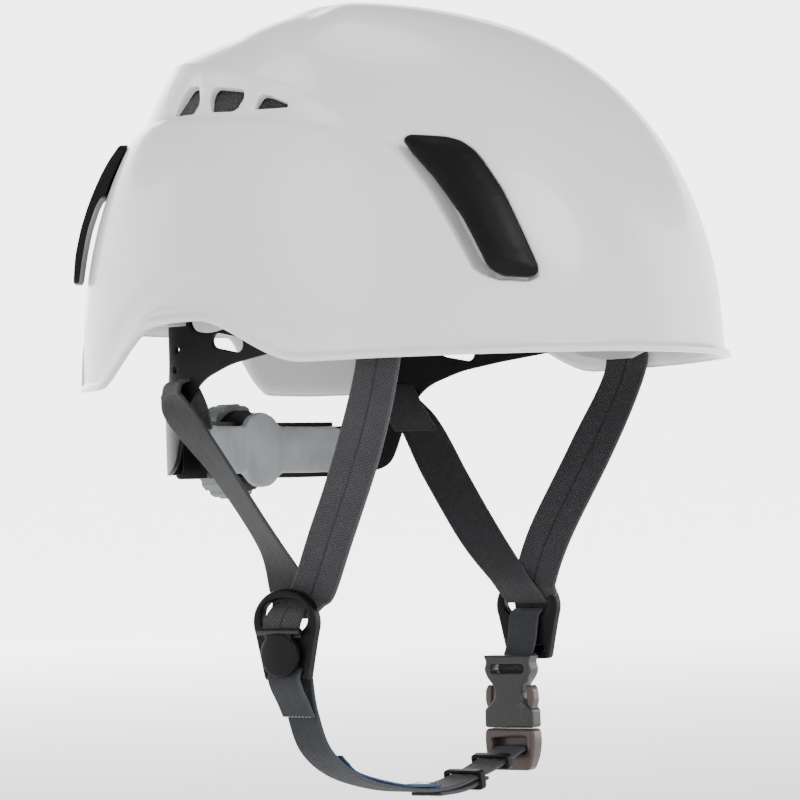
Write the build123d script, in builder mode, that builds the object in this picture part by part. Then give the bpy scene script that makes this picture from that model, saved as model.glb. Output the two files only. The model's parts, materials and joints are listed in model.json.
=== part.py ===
"""Climbing helmet: moulded shell, foam liner, cradle with nape adjuster, webbing and buckle.

Millimetres. The origin is at the centre of the head opening, level with the widest part of the
shell. +Z is up, -Y is the way the wearer looks and +X is the wearer's left.
"""
from build123d import *
from math import cos, pi, radians, sin, sqrt
import os

os.makedirs("parts", exist_ok=True)

# ---------------------------------------------------------------- driving dimensions
front_reach = 140.5        # origin to the outside of the forehead
rear_reach = 132.0         # origin to the outside of the back
half_width = 108.0
crown_height = 141.0
plan_power = 2.14          # 2 would be an ellipse seen from above
side_power = 3.15          # 2 would be an ellipse seen from the front
lip_height = 2.8           # bead along the plain rim
lip_out = 1.6              # how far the bead stands out
shell_wall = 3.0
rim_front = -7.0           # height of the plain rim
rim_arch = 11.3            # top of the arch behind each ear
rim_lobe = -11.8           # bottom of each rear lobe
notch_half = 57.0          # half width of the cut-out over the nape adjuster
notch_top = 15.0

liner_gap = 4.3            # shell outside to liner outside
liner_inset = 20.0         # shell outside to liner inside
liner_bottom = 27.0

pocket_depth = 6.0         # front clip pockets
pocket_wall = 2.5
clip_thick = 2.6

webbing_width = 20.0
webbing_thick = 1.6
chin_width = 15.0

arm_thick = 1.8
nape_height = -36.5        # centre of the nape adjuster
rack_plane = 75.5          # distance of the racks behind the origin
rack_thick = 2.0
housing_half = 44.0
housing_height = 23.4
gear_module = 1.0
gear_teeth = 12
wheel_radius = 20.0

divider_x = 76.0           # dividers stand this far to each side
divider_top = -95.0
divider_forward = {"right": 0.0, "left": 14.0}
half_divider = 2.5
hinge_height = -109.5      # lever pins
hinge_out = half_divider + 2.8
buckle_x = 67.0
buckle_forward = 10.0
socket_top = -127.0
socket_bottom = -157.0
plug_bottom = -175.0
buckle_width = 24.0
buckle_thick = 8.0


# ---------------------------------------------------------------- shared shapes
def surface_point(bearing, height, inset=0.0):
    """A point of the moulded surface. bearing is 0 at the front and 90 at the wearer's left."""
    forward = cos(radians(bearing))
    across = sin(radians(bearing))
    level = min(max(height, 0.0) / (crown_height - inset), 1.0)
    reach = (front_reach if forward > 0 else rear_reach) - inset
    lengthwise = reach * sqrt(1 - level**2)
    sideways = (half_width - inset) * (1 - level**side_power) ** (1 / side_power)
    size = (abs(forward) ** plan_power + abs(across) ** plan_power) ** (-1 / plan_power)
    return Vector(across * size * sideways, -forward * size * lengthwise, height)


def dome(inset):
    """Solid inside of the moulded surface, moved inwards by inset."""
    top = crown_height - inset
    levels = [0.1, 0.28, 0.45, 0.6, 0.74, 0.85, 0.93, 0.98, 0.997]
    heights = [-24.0, -10.0] + [top * level for level in levels]
    bearings = [20 * step for step in range(18)]
    with BuildPart() as body:
        for height in heights:
            with BuildSketch(Plane.XY.offset(height)):
                with BuildLine():
                    ring = [surface_point(bearing, height, inset) for bearing in bearings]
                    Spline([(point.X, point.Y) for point in ring], periodic=True)
                make_face()
        loft()
    return body.part


def prism(plane, outline, start, end, corner=0.0):
    """A closed outline on a plane, pulled from one distance to another along its normal."""
    with BuildPart() as body:
        with BuildSketch(plane.offset(start)) as sketch:
            with BuildLine():
                Polyline(outline, close=True)
            make_face()
            if corner:
                fillet(sketch.vertices(), corner)
        extrude(amount=end - start)
    return body.part


def webbing(name, stations, width, thick):
    """Flat webbing through stations of (centre, direction across the webbing, direction along)."""
    with BuildPart() as strap:
        for centre, across, along in stations:
            with BuildSketch(Plane(origin=centre, x_dir=across, z_dir=along)):
                Rectangle(width, thick)
        loft()
    save(name, strap.part)


def save(name, piece):
    """Label a finished piece and write it."""
    piece.label = name
    export_step(piece, f"parts/{name}.step")


def save_pair(name, right_piece):
    """Write a right-hand piece and its mirror image."""
    save(f"{name}_right", right_piece)
    save(f"{name}_left", mirror(right_piece, about=Plane.YZ))


def both_sides(piece):
    """A right-hand piece and its mirror image."""
    return [piece, mirror(piece, about=Plane.YZ)]


# ---------------------------------------------------------------- shell, mesh, clips and liner
outside = dome(0.0)
inside = dome(shell_wall)

# the rim seen from the side: plain front, arch behind the ear, rear lobe
rim_line = [(-160, rim_front), (-34, rim_front), (-17, -2.6), (0, 6.0), (12, 10.4), (26, rim_arch),
            (43, 9.0), (57, 1.5), (69, -6.8), (84, rim_lobe), (102, rim_lobe + 1.5), (150, rim_lobe + 3)]
with BuildPart() as rim_cutter:
    with BuildSketch(Plane.YZ):
        with BuildLine():
            lower_edge = Spline(rim_line)
            Polyline(lower_edge @ 1, (150, -60), (-160, -60), lower_edge @ 0)
        make_face()
    extrude(amount=150, both=True)
with BuildPart() as notch_cutter:
    with BuildSketch(Plane.XZ.offset(-150)):
        with BuildLine():
            roof = Spline([(-notch_half - 4, -9), (-notch_half + 1, 5), (-notch_half + 12, notch_top - 2.5),
                           (0, notch_top), (notch_half - 12, notch_top - 2.5), (notch_half - 1, 5),
                           (notch_half + 4, -9)])
            Polyline(roof @ 1, (notch_half + 8, -60), (-notch_half - 8, -60), roof @ 0)
        make_face()
    extrude(amount=80)

# the front pocket stands on a plane square to the temple
temple = Plane(origin=(-76, -95, 48), x_dir=(0.697, -0.718, 0), z_dir=(-0.70, -0.68, 0.22))
clip_outline = [(-26, 29), (-3, 27.5), (9.5, 6), (21.5, -29), (5, -28), (-6, -4.5), (-15.5, 12.5)]
pocket_outline = [(-34, 31), (-26, 29.6), (-2.4, 28), (10.1, 6), (22.2, -29.6), (0, -28.4), (-14, -4),
                  (-24, 13)]
pocket_block = prism(temple, [(x * 1.1, y * 1.09) for x, y in pocket_outline], -40, 40, 4)
pocket_hole = prism(temple, pocket_outline, -40, 40, 2)
pocket_floor = dome(pocket_depth)
pocket_back = dome(pocket_depth + pocket_wall)

with BuildPart() as pocket_wall_tool:
    add(pocket_block)
    add(pocket_back, mode=Mode.SUBTRACT)
with BuildPart() as pocket_space:
    add(dome(-8.0))
    add(pocket_floor, mode=Mode.SUBTRACT)
    add(pocket_hole, mode=Mode.INTERSECT)

# three vents on each side, behind the crown ridge: bearing, height, length, width
vents = [(108, 99.3, 15.5, 11), (94, 97.8, 17, 10.5), (81.4, 93.6, 13, 6)]


def surface_plane(bearing, height):
    """Plane that touches the outside of the shell, with its x direction level."""
    point = surface_point(bearing, height)
    level = surface_point(bearing + 1, height) - surface_point(bearing - 1, height)
    upwards = surface_point(bearing, height + 1) - surface_point(bearing, height - 1)
    return Plane(origin=point, x_dir=level, z_dir=level.cross(upwards))


with BuildPart() as vent_cutter:
    for bearing, height, length, width in vents:
        for side in (-1, 1):
            slant = 2.0 * side
            half = length / 2
            with BuildSketch(surface_plane(side * bearing, height).offset(-14)) as vent_sketch:
                with BuildLine():
                    Polyline([(-half - slant, -width / 2), (half - slant, -width / 2),
                              (half + slant, width / 2), (-half + slant, width / 2)], close=True)
                make_face()
                fillet(vent_sketch.vertices(), 1.2)
            extrude(amount=28)

rear_bearing = 142.0
rear_axis = Plane(origin=(0, 0, 0), x_dir=(-sin(radians(rear_bearing)), -cos(radians(rear_bearing)), 0),
                  z_dir=(-cos(radians(rear_bearing)), sin(radians(rear_bearing)), 0))


def rear_radius(height, proud):
    """Distance from the vertical axis to the shell at the rear clip."""
    point = surface_point(rear_bearing, height)
    return sqrt(point.X**2 + point.Y**2) + proud


foot_low = 70.0
foot_high = 78.0
clip_half = 9.0
rear_foot = [(rear_radius(74, -6.5), foot_low), (rear_radius(74, 3), foot_low),
             (rear_radius(74, 3), foot_high), (rear_radius(74, -6.5), foot_high)]
foot_slot = [(rear_radius(74, -9), foot_low - 0.2), (rear_radius(74, 9), foot_low - 0.2),
             (rear_radius(74, 9), foot_high + 0.2), (rear_radius(74, -9), foot_high + 0.2)]
rear_slot = prism(rear_axis, foot_slot, -6.2, 6.2)

lip_slab = Box(300, 320, lip_height, mode=Mode.PRIVATE).moved(
    Location((0, 0, rim_front + lip_height / 2)))
with BuildPart() as cavity:
    add(inside)
    add(both_sides(pocket_wall_tool.part), mode=Mode.SUBTRACT)
with BuildPart() as lip:
    add(dome(-lip_out))
    add(lip_slab, mode=Mode.INTERSECT)
with BuildPart() as outer_shell:
    add(outside)
    add(lip.part)
    add(cavity.part, mode=Mode.SUBTRACT)
    add(both_sides(pocket_space.part), mode=Mode.SUBTRACT)
    add(both_sides(rear_slot), mode=Mode.SUBTRACT)
    add(rim_cutter.part, mode=Mode.SUBTRACT)
    add(notch_cutter.part, mode=Mode.SUBTRACT)
    add(vent_cutter.part, mode=Mode.SUBTRACT)
save("outer_shell", outer_shell.part)

mesh_region = Box(60, 92, 27, mode=Mode.PRIVATE).moved(Location((-90, 12, 98.5)))
with BuildPart() as vent_mesh:
    add(dome(shell_wall + 0.2))
    add(dome(liner_gap - 0.3), mode=Mode.SUBTRACT)
    add(mesh_region, mode=Mode.INTERSECT)
save_pair("vent_mesh", vent_mesh.part)

liner_floor = Box(300, 320, 120, mode=Mode.PRIVATE).moved(Location((0, 0, liner_bottom - 60)))
liner_relief = prism(temple, [(x * 1.15, y * 1.13) for x, y in pocket_outline], -20, 40, 4)
with BuildPart() as foam_liner:
    add(dome(liner_gap))
    add(dome(liner_inset), mode=Mode.SUBTRACT)
    add(liner_floor, mode=Mode.SUBTRACT)
    add(both_sides(liner_relief), mode=Mode.SUBTRACT)
    add(both_sides(rear_slot), mode=Mode.SUBTRACT)
save("foam_liner", foam_liner.part)

with BuildPart() as front_clip:
    add(dome(-1.0))
    add(dome(clip_thick - 1.0), mode=Mode.SUBTRACT)
    add(prism(temple, clip_outline, -40, 40, 3), mode=Mode.INTERSECT)
with BuildPart() as front_clip_foot:
    add(dome(clip_thick - 1.0))
    add(dome(pocket_depth), mode=Mode.SUBTRACT)
    groove = [(-1.5, 22), (7.5, 6), (18, -24), (14, -24), (3.5, 6), (-5.5, 21)]
    add(prism(temple, groove, -40, 40), mode=Mode.INTERSECT)
with BuildPart() as whole_front_clip:
    add(front_clip.part)
    add(front_clip_foot.part)
save_pair("front_clip", whole_front_clip.part)

rear_profile = [(rear_radius(88, 0.6), 88), (rear_radius(87, 4.2), 88.5), (rear_radius(76, 5.8), 76),
                (rear_radius(55, 6.6), 55), (rear_radius(33, 5.6), 33), (rear_radius(33, 3.2), 33),
                (rear_radius(55, 3.6), 55), (rear_radius(66, 3.0), 66), (rear_radius(69, 0.6), 69),
                (rear_radius(79, 0.6), 79)]
with BuildPart() as rear_clip:
    add(prism(rear_axis, rear_profile, -clip_half, clip_half))
    add(prism(rear_axis, rear_foot, -6, 6))
save_pair("rear_clip", rear_clip.part)

with BuildPart() as crown_pad:
    add(dome(liner_inset + 0.3))
    add(dome(liner_inset + 5.5), mode=Mode.SUBTRACT)
    add(Cylinder(38, 400, mode=Mode.PRIVATE), mode=Mode.INTERSECT)
    add(Box(200, 200, 200, mode=Mode.PRIVATE).moved(Location((0, 0, -5))), mode=Mode.SUBTRACT)
save("crown_pad", crown_pad.part)

# ---------------------------------------------------------------- cradle: headband, pad, arms, anchors
band_low = 6.0
band_high = 30.0
band_half = 80.0
band_front = 116.0
band_back = 32.0           # where the headband starts, ahead of the origin


def cradle_ring(half, front, thick, low, high):
    """Half oval band round the forehead, open at the back."""
    with BuildPart() as body:
        with BuildSketch(Plane.XY.offset(low)):
            Ellipse(half, front)
            Ellipse(half - thick, front - thick, mode=Mode.SUBTRACT)
            with Locations((0, front)):
                Rectangle(4 * half, 2 * front + 2 * band_back, mode=Mode.SUBTRACT)
        extrude(amount=high - low)
    return body.part


save("headband", cradle_ring(band_half, band_front, 1.6, band_low, band_high))
with BuildPart() as brow_pad:
    add(cradle_ring(band_half - 1.9, band_front - 1.9, 4.5, band_low + 1, band_high - 1))
    add(Box(118, 100, 100, mode=Mode.PRIVATE).moved(Location((0, -100, 18))), mode=Mode.INTERSECT)
save("brow_pad", brow_pad.part)

arm_plan = [(-82.0, -46), (-82.4, -20), (-81.5, 10), (-79, 34), (-74, 54), (-62, 68), (-50, 74.0),
            (-housing_half - 0.4, rack_plane)]
arm_outline = [(-48, 5), (-23, 1.0), (0, -1.5), (20, -4.5), (36, -10), (46, -20), (50, -34), (54, -44),
               (62, -47), (77, nape_height - 10), (77, nape_height + 10), (66, -26), (60, -16), (57, -4),
               (57, 10), (55, 24), (42, 24), (42, 10), (30, 8), (10, 12), (-20, 17), (-48, 18)]
with BuildPart() as side_arm:
    with BuildSketch(Plane.XY.offset(-60)):
        with BuildLine():
            Spline(arm_plan)
        trace(line_width=arm_thick)
    extrude(amount=100)
    add(prism(Plane.YZ, arm_outline, -100, 0, 1.2), mode=Mode.INTERSECT)
    with BuildSketch(Plane.YZ.offset(-100)):
        with Locations(Location((21, 4, 0), (0, 0, 12))):
            SlotOverall(17, 6)
        with Locations((50, 3), (52, -5)):
            Circle(1.4)
    extrude(amount=40, mode=Mode.SUBTRACT)
save_pair("side_arm", side_arm.part)

anchor_outline = [(-72, 22), (-72, 1), (-62, -3), (-50, -3), (-40, -1), (-34, 2), (-34, 22)]
strap_slot_top = 8.0
with BuildPart() as front_anchor:
    add(dome(shell_wall + 0.3))
    add(prism(Plane.YZ, anchor_outline, -120, -83.8), mode=Mode.INTERSECT)
    with Locations((-90, -57.5, strap_slot_top - 10)):
        Box(webbing_thick + 1, webbing_width + 1.4, 20, mode=Mode.SUBTRACT)
save_pair("front_anchor", front_anchor.part)

hanger_outline = [(44, 26), (44, 12), (54, 12), (54, 26)]
with BuildPart() as rear_hanger:
    add(dome(shell_wall + 0.3))
    add(prism(Plane.YZ, hanger_outline, -120, -78.2), mode=Mode.INTERSECT)
save_pair("rear_hanger", rear_hanger.part)

with BuildPart() as arm_rivets:
    for side in (-1, 1):
        for reach, back, height in ((80.6, -41, 12), (74.6, 49, 19)):
            start = Plane(origin=(side * (reach - 1.5), back, height), z_dir=(-side, 0, 0))
            with BuildSketch(start):
                Circle(3)
            extrude(amount=1.5)
save("arm_rivets", arm_rivets.part)

# ---------------------------------------------------------------- nape adjuster
pitch_radius = gear_module * gear_teeth / 2
tooth_pitch = pi * gear_module
tooth_flank = 0.62         # half thickness of a tooth at the pitch line
adjuster = Plane(origin=(0, rack_plane, nape_height), x_dir=(1, 0, 0), z_dir=(0, 1, 0))
rack_root = pitch_radius + 1.0
rack_back = 9.3


def rack_profile():
    """Right-hand rack seen from the front: strip above the pinion, teeth downwards, T end outside."""
    points = [(-housing_half, -rack_back), (-housing_half, rack_back), (17, rack_back), (17, rack_root)]
    for count in range(5, -6, -1):
        centre = (count + 0.5) * tooth_pitch - tooth_pitch
        points += [(centre + tooth_flank + 0.3, rack_root), (centre + tooth_flank - 0.3, pitch_radius - 0.8),
                   (centre - tooth_flank + 0.3, pitch_radius - 0.8), (centre - tooth_flank - 0.3, rack_root)]
    return points + [(-housing_half + 4.5, rack_root), (-housing_half + 4.5, -rack_back)]


nape_front = Plane.XZ.offset(-rack_plane)
rack_outline = [(x, z + nape_height) for x, z in rack_profile()]
rack_right = prism(nape_front, rack_outline, -rack_thick / 2, rack_thick / 2)
save("rack_right", rack_right)
with BuildPart() as rack_left:
    add(rack_right.rotate(Axis((0, rack_plane, nape_height), (0, 1, 0)), 180))
save("rack_left", rack_left.part)


def ring_of_teeth(root, tip, teeth, half_root, half_tip):
    """Gear outline with straight flanks, a tooth standing straight up."""
    points = []
    for count in range(teeth):
        turn = 2 * pi * count / teeth + pi / 2
        for radius, half in ((root, half_root), (tip, half_tip)):
            points.append((radius, turn - half / radius))
        for radius, half in ((tip, half_tip), (root, half_root)):
            points.append((radius, turn + half / radius))
    return [(radius * cos(turn), radius * sin(turn)) for radius, turn in points]


shaft_radius = 3.5
wheel_front = 5.1          # rack plane to the front of the wheel
wheel_depth = 9.0
cover_front = 1.4
cover_back = 4.0
with BuildPart() as wheel_pinion:
    pinion = [(x, z + nape_height) for x, z in ring_of_teeth(pitch_radius - 1.1, pitch_radius + 0.8,
                                                             gear_teeth, 0.85, 0.4)]
    add(prism(nape_front, pinion, -rack_thick / 2, rack_thick / 2))
    with BuildSketch(nape_front.offset(-rack_thick / 2)):
        with Locations((0, nape_height)):
            Circle(shaft_radius)
    extrude(amount=-(wheel_front + 4 - rack_thick / 2))
    with BuildSketch(nape_front.offset(-wheel_front - 4)):
        with Locations((0, nape_height)):
            Circle(1.25)
    extrude(amount=8, mode=Mode.SUBTRACT)
save("wheel_pinion", wheel_pinion.part)

with BuildPart() as adjuster_wheel:
    with BuildSketch(nape_front.offset(-wheel_front)):
        with Locations((0, nape_height)):
            Circle(wheel_radius - 3)
    extrude(amount=-wheel_depth)
    with BuildSketch(nape_front.offset(-wheel_front)) as recess_sketch:
        recess = ring_of_teeth(13.0, 14.0, 24, 1.2, 0.5)
        with BuildLine():
            Polyline([(x, z + nape_height) for x, z in recess], close=True)
        make_face()
        with Locations((0, nape_height)):
            Circle(shaft_radius + 2.5, mode=Mode.SUBTRACT)
    extrude(amount=-3, mode=Mode.SUBTRACT)
    with BuildSketch(nape_front.offset(-wheel_front)):
        with Locations((0, nape_height)):
            Circle(shaft_radius)
    extrude(amount=-4, mode=Mode.SUBTRACT)
    with BuildSketch(nape_front.offset(-wheel_front)):
        with Locations((0, nape_height)):
            Circle(1.6)
    extrude(amount=-wheel_depth, mode=Mode.SUBTRACT)
    with BuildSketch(nape_front.offset(-wheel_front - wheel_depth + 2.2)):
        with Locations((0, nape_height)):
            Circle(3.6)
    extrude(amount=-2.2, mode=Mode.SUBTRACT)
save("adjuster_wheel", adjuster_wheel.part)

with BuildPart() as wheel_grip:
    with BuildSketch(nape_front.offset(-wheel_front)):
        with Locations((0, nape_height)):
            Circle(wheel_radius)
        with Locations((0, nape_height)):
            Circle(wheel_radius - 3, mode=Mode.SUBTRACT)
            with PolarLocations(wheel_radius + 1.0, 18):
                Circle(2.0, mode=Mode.SUBTRACT)
    extrude(amount=-wheel_depth)
save("wheel_grip", wheel_grip.part)

with BuildPart() as wheel_screw:
    with BuildSketch(nape_front.offset(-wheel_front - wheel_depth + 2.2)):
        with Locations((0, nape_height)):
            Circle(3.4)
    extrude(amount=-1.8)
    with BuildSketch(nape_front.offset(-wheel_front - wheel_depth + 2.2)):
        with Locations((0, nape_height)):
            Circle(1.25)
    extrude(amount=8)
    with BuildSketch(nape_front.offset(-wheel_front - wheel_depth + 0.4)):
        with Locations((0, nape_height)):
            Rectangle(4.6, 0.9)
            Rectangle(0.9, 4.6)
    extrude(amount=0.9, mode=Mode.SUBTRACT)
save("wheel_screw", wheel_screw.part)

pad_radius = 116.0
pad_back = 71.3            # back of the nape pad on the middle line
pad_thick = 4.0
pad_centre = Cylinder(pad_radius, 200, mode=Mode.PRIVATE).moved(Location((0, pad_back - pad_radius, 0)))
pad_inner = Cylinder(pad_radius - pad_thick, 200, mode=Mode.PRIVATE).moved(
    Location((0, pad_back - pad_radius, 0)))
with BuildPart() as nape_pad:
    with BuildSketch(Plane.XZ.offset(-55)):
        with Locations((0, nape_height)):
            RectangleRounded(2 * housing_half + 4, 21, 4)
            Circle(16.5)
    extrude(amount=-30)
    add(pad_centre, mode=Mode.INTERSECT)
    add(pad_inner, mode=Mode.SUBTRACT)
save("nape_pad", nape_pad.part)

housing_skin = Cylinder(pad_radius + 0.2, 200, mode=Mode.PRIVATE).moved(
    Location((0, pad_back - pad_radius, 0)))
with BuildPart() as nape_housing:
    with Locations((0, rack_plane - 10, nape_height)):
        Box(2 * housing_half, 20 + 2 * cover_front, housing_height)
        Box(2 * housing_half, 26, 2 * rack_back + 0.6, mode=Mode.SUBTRACT)
    with Locations((0, rack_plane - 7.4, nape_height)):
        Box(2 * housing_half, 12, housing_height)
    add(housing_skin, mode=Mode.SUBTRACT)
save("nape_housing", nape_housing.part)

with BuildPart() as nape_cover:
    with BuildSketch(nape_front.offset(-cover_front)):
        with Locations((0, nape_height)):
            RectangleRounded(2 * housing_half, housing_height, 3)
            Circle(17)
            Circle(shaft_radius + 0.1, mode=Mode.SUBTRACT)
            with GridLocations(2 * housing_half - 12, 12, 2, 2):
                Circle(1.1, mode=Mode.SUBTRACT)
    extrude(amount=-(cover_back - cover_front))
save("nape_cover", nape_cover.part)

with BuildPart() as detent_pawl:
    with BuildSketch(nape_front.offset(-cover_back)):
        with Locations((0, nape_height)):
            Circle(11.6)
            Circle(10.2, mode=Mode.SUBTRACT)
            with Locations((0, -8)):
                Rectangle(30, 16, mode=Mode.SUBTRACT)
        with Locations((0, nape_height + 11.8)):
            Circle(0.9)
    extrude(amount=-(wheel_front - cover_back + 2.5))
save("detent_pawl", detent_pawl.part)

with BuildPart() as cover_screws:
    with BuildSketch(nape_front.offset(-cover_back)):
        with Locations((0, nape_height)):
            with GridLocations(2 * housing_half - 12, 12, 2, 2):
                Circle(2.2)
    extrude(amount=-1.2)
    with BuildSketch(nape_front.offset(-cover_back)):
        with Locations((0, nape_height)):
            with GridLocations(2 * housing_half - 12, 12, 2, 2):
                Circle(1.0)
    extrude(amount=cover_back - cover_front)
save("cover_screws", cover_screws.part)

# ---------------------------------------------------------------- head webbing
for side_name, side in (("right", -1), ("left", 1)):
    ahead = divider_forward[side_name]
    front_stations = [((side * 90, -57.5, strap_slot_top - 1), (0, 1, 0), (0, 0, -1)),
                      ((side * 90, -57, -9), (0, 1, 0), (0, 0.1, -1)),
                      ((side * 84, -42, -42), (0, 0.9, 0.38), (0, 0.42, -0.9)),
                      ((side * 76, -22 - ahead * 0.35, -74), (0, 0.9, 0.42), (0, 0.42, -0.9)),
                      ((side * 71.9, -11 - ahead * 0.7, -93), (0, 0.95, 0.3), (0, 0.3, -0.95)),
                      ((side * 71.9, -4 - ahead, -111), (0, 1, 0), (0, 0, -1))]
    webbing(f"front_strap_{side_name}", front_stations, webbing_width, webbing_thick)
    rear_stations = [((side * 77.9, 53, -15), (-side * 0.5, 0.87, 0), (0, -0.3, -1)),
                     ((side * 81.5, 43.5, -26), (-side * 0.2, 0.97, 0), (0, -0.62, -0.8)),
                     ((side * 76.6, 26.5, -50), (-side * 0.45, 0.87, 0), (0, -0.5, -0.86)),
                     ((side * 71.5, 10 - ahead * 0.3, -77), (-side * 0.4, 0.87, 0), (0, -0.45, -0.89)),
                     ((side * 69.5, 2 - ahead * 0.8, -95), (0, 1, 0), (0, -0.2, -1)),
                     ((side * 69.3, 0 - ahead, -111), (0, 1, 0), (0, 0, -1))]
    webbing(f"rear_strap_{side_name}", rear_stations, webbing_width, webbing_thick)

    # divider: a ring that the webbing runs behind, and a tail with the clamping lever
    face = Plane(origin=(side * divider_x, -ahead, 0), x_dir=(0, 1, 0), z_dir=(1, 0, 0))
    hinge = Plane(origin=(side * (divider_x + hinge_out), -ahead, hinge_height), x_dir=(1, 0, 0),
                  z_dir=(0, 1, 0))
    with BuildPart() as divider:
        with BuildSketch(face.offset(-half_divider)):
            with Locations((0, divider_top - 11)):
                Ellipse(15, 11)
            with Locations((0, -118)):
                Circle(11.5)
            with Locations((0, -124)):
                RectangleRounded(21, 9, 2)
            with Locations((0, divider_top - 8.5)):
                SlotOverall(22, 7, mode=Mode.SUBTRACT)
            with Locations((0, -124.2)):
                SlotOverall(17, 3.2, mode=Mode.SUBTRACT)
        extrude(amount=2 * half_divider)
        with BuildSketch(face.offset(side * half_divider)):
            with Locations((-9, hinge_height), (9, hinge_height)):
                Rectangle(2.4, 5.4)
        extrude(amount=side * 5.2)
        with BuildSketch(hinge):
            Circle(1.3)
        extrude(amount=16, both=True, mode=Mode.SUBTRACT)
    save(f"divider_{side_name}", divider.part)

    with BuildPart() as divider_lever:
        with BuildSketch(hinge):
            Circle(2.4)
        extrude(amount=7.2, both=True)
        with BuildSketch(face.offset(side * (half_divider + 0.6))):
            with Locations((0, -118.5)):
                Circle(8.8)
            with Locations((0, -111.8)):
                Rectangle(12, 4.6)
        extrude(amount=side * 3.6)
        with BuildSketch(hinge):
            Circle(1.36)
        extrude(amount=12, both=True, mode=Mode.SUBTRACT)
    save(f"divider_lever_{side_name}", divider_lever.part)
    with BuildPart() as divider_pin:
        with BuildSketch(hinge):
            Circle(1.28)
        extrude(amount=10.2, both=True)
    save(f"divider_pin_{side_name}", divider_pin.part)

# ---------------------------------------------------------------- chin webbing and buckle
chin_stations = [((-71.7, 0, -113.5), (0, 1, 0), (0, 0, -1)),
                 ((-71.7, -0.8, -128), (0, 1, 0), (0, -0.1, -1)),
                 ((-71, -2.5, -142), (0, 1, 0), (0.25, -0.1, -1)),
                 ((-66, -5, -157), (0, 1, 0), (0.75, -0.1, -0.75)),
                 ((-48, -6.5, -168.5), (0, 1, 0), (1, -0.05, -0.42)),
                 ((-20, -8, -175.5), (0, 1, 0), (1, -0.05, -0.15)),
                 ((10, -9, -177.5), (0, 1, 0), (1, 0, 0)),
                 ((36, -9.5, -173.6), (0, 1, 0), (1, 0, 0.2)),
                 ((56, -10, -168.4), (0, 1, 0), (1, 0, 0.27)),
                 ((66.5, -10, -165.6), (0, 1, 0), (1, 0, 0.27))]
webbing("chin_strap", chin_stations, chin_width, webbing_thick)
lining_stations = [((-55.7, -5.8, -161.7), (0, 1, 0), (1, -0.05, -0.6))]
lining_stations += [((x + 0.4, y, z + 2), across, along) for (x, y, z), across, along in chin_stations[4:6]]
lining_stations += [((4, -9, -175.4), (0, 1, 0), (1, 0, 0))]
webbing("chin_lining", lining_stations, chin_width - 2, 1.0)
tail_stations = [((2, -9, -179.6), (0, 1, 0), (1, 0, 0)),
                 ((20, -9.3, -179), (0, 1, 0), (1, 0, 0.1)),
                 ((37, -9.5, -175.7), (0, 1, 0), (1, 0, 0.22))]
webbing("strap_tail", tail_stations, chin_width, webbing_thick)

keeper_places = {"strap_keeper_upper": ((50, -9.9, -170.1), (1, 0, 0.26)),
                 "strap_keeper_lower": ((30, -9.4, -176), (1, 0, 0.17))}
for keeper_name, (centre, along) in keeper_places.items():
    with BuildPart() as keeper:
        with BuildSketch(Plane(origin=centre, x_dir=(0, 1, 0), z_dir=along).offset(-3)):
            RectangleRounded(chin_width + 5, 9.6, 2)
            RectangleRounded(chin_width + 0.8, 5.6, 0.6, mode=Mode.SUBTRACT)
        extrude(amount=6)
    save(keeper_name, keeper.part)

buckle_face = Plane(origin=(buckle_x, -buckle_forward, 0), x_dir=(0, 1, 0), z_dir=(1, 0, 0))
half_buckle = buckle_width / 2
half_deep = buckle_thick / 2
with BuildPart() as buckle_socket:
    with BuildSketch(buckle_face.offset(-half_deep)) as socket_sketch:
        with BuildLine():
            Polyline([(-half_buckle, socket_top), (half_buckle, socket_top),
                      (half_buckle - 1, socket_top - 8), (half_buckle - 3.5, socket_top - 11),
                      (half_buckle - 3.5, socket_top - 17), (half_buckle, socket_top - 20),
                      (half_buckle, socket_bottom), (-half_buckle, socket_bottom),
                      (-half_buckle, socket_top - 20), (-half_buckle + 3.5, socket_top - 17),
                      (-half_buckle + 3.5, socket_top - 11), (-half_buckle + 1, socket_top - 8)], close=True)
        make_face()
        fillet(socket_sketch.vertices(), 1)
        with Locations((0, socket_top - 5)):
            SlotOverall(17, 3, mode=Mode.SUBTRACT)
    extrude(amount=buckle_thick)
    with BuildSketch(buckle_face.offset(-half_deep + 1.6)):
        with Locations((0, socket_bottom + 9)):
            Rectangle(buckle_width - 4, 20)
    extrude(amount=buckle_thick - 3.2, mode=Mode.SUBTRACT)
    with BuildSketch(buckle_face.offset(-half_deep + 1.6)):
        with Locations((0, socket_top - 14.5)):
            Rectangle(buckle_width + 2, 7)
    extrude(amount=buckle_thick - 3.2, mode=Mode.SUBTRACT)
save("buckle_socket", buckle_socket.part)

with BuildPart() as buckle_plug:
    with BuildSketch(buckle_face.offset(-half_deep)) as plug_sketch:
        with Locations((0, (socket_bottom - 0.4 + plug_bottom) / 2)):
            RectangleRounded(buckle_width, socket_bottom - 0.4 - plug_bottom, 2.5)
        with Locations((0, plug_bottom + 9.2)):
            SlotOverall(17, 4.6, mode=Mode.SUBTRACT)
    extrude(amount=buckle_thick)
    with BuildSketch(buckle_face.offset(-half_deep + 2)):
        with Locations((0, socket_bottom + 5)):
            Rectangle(5, 11.5)
    extrude(amount=buckle_thick - 4)
save("buckle_plug", buckle_plug.part)

prong_outline = [(3.4, socket_bottom + 0.2), (9.4, socket_bottom + 0.2), (8.6, socket_bottom + 9),
                 (9.6, socket_bottom + 13), (7.4, socket_bottom + 17.5), (5.8, socket_bottom + 17.5),
                 (5.2, socket_bottom + 8)]
for prong_name, side in (("buckle_prong_rear", 1), ("buckle_prong_front", -1)):
    outline = [(side * y, z) for y, z in prong_outline]
    save(prong_name, prism(buckle_face, outline, -half_deep + 2, half_deep - 2))

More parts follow.
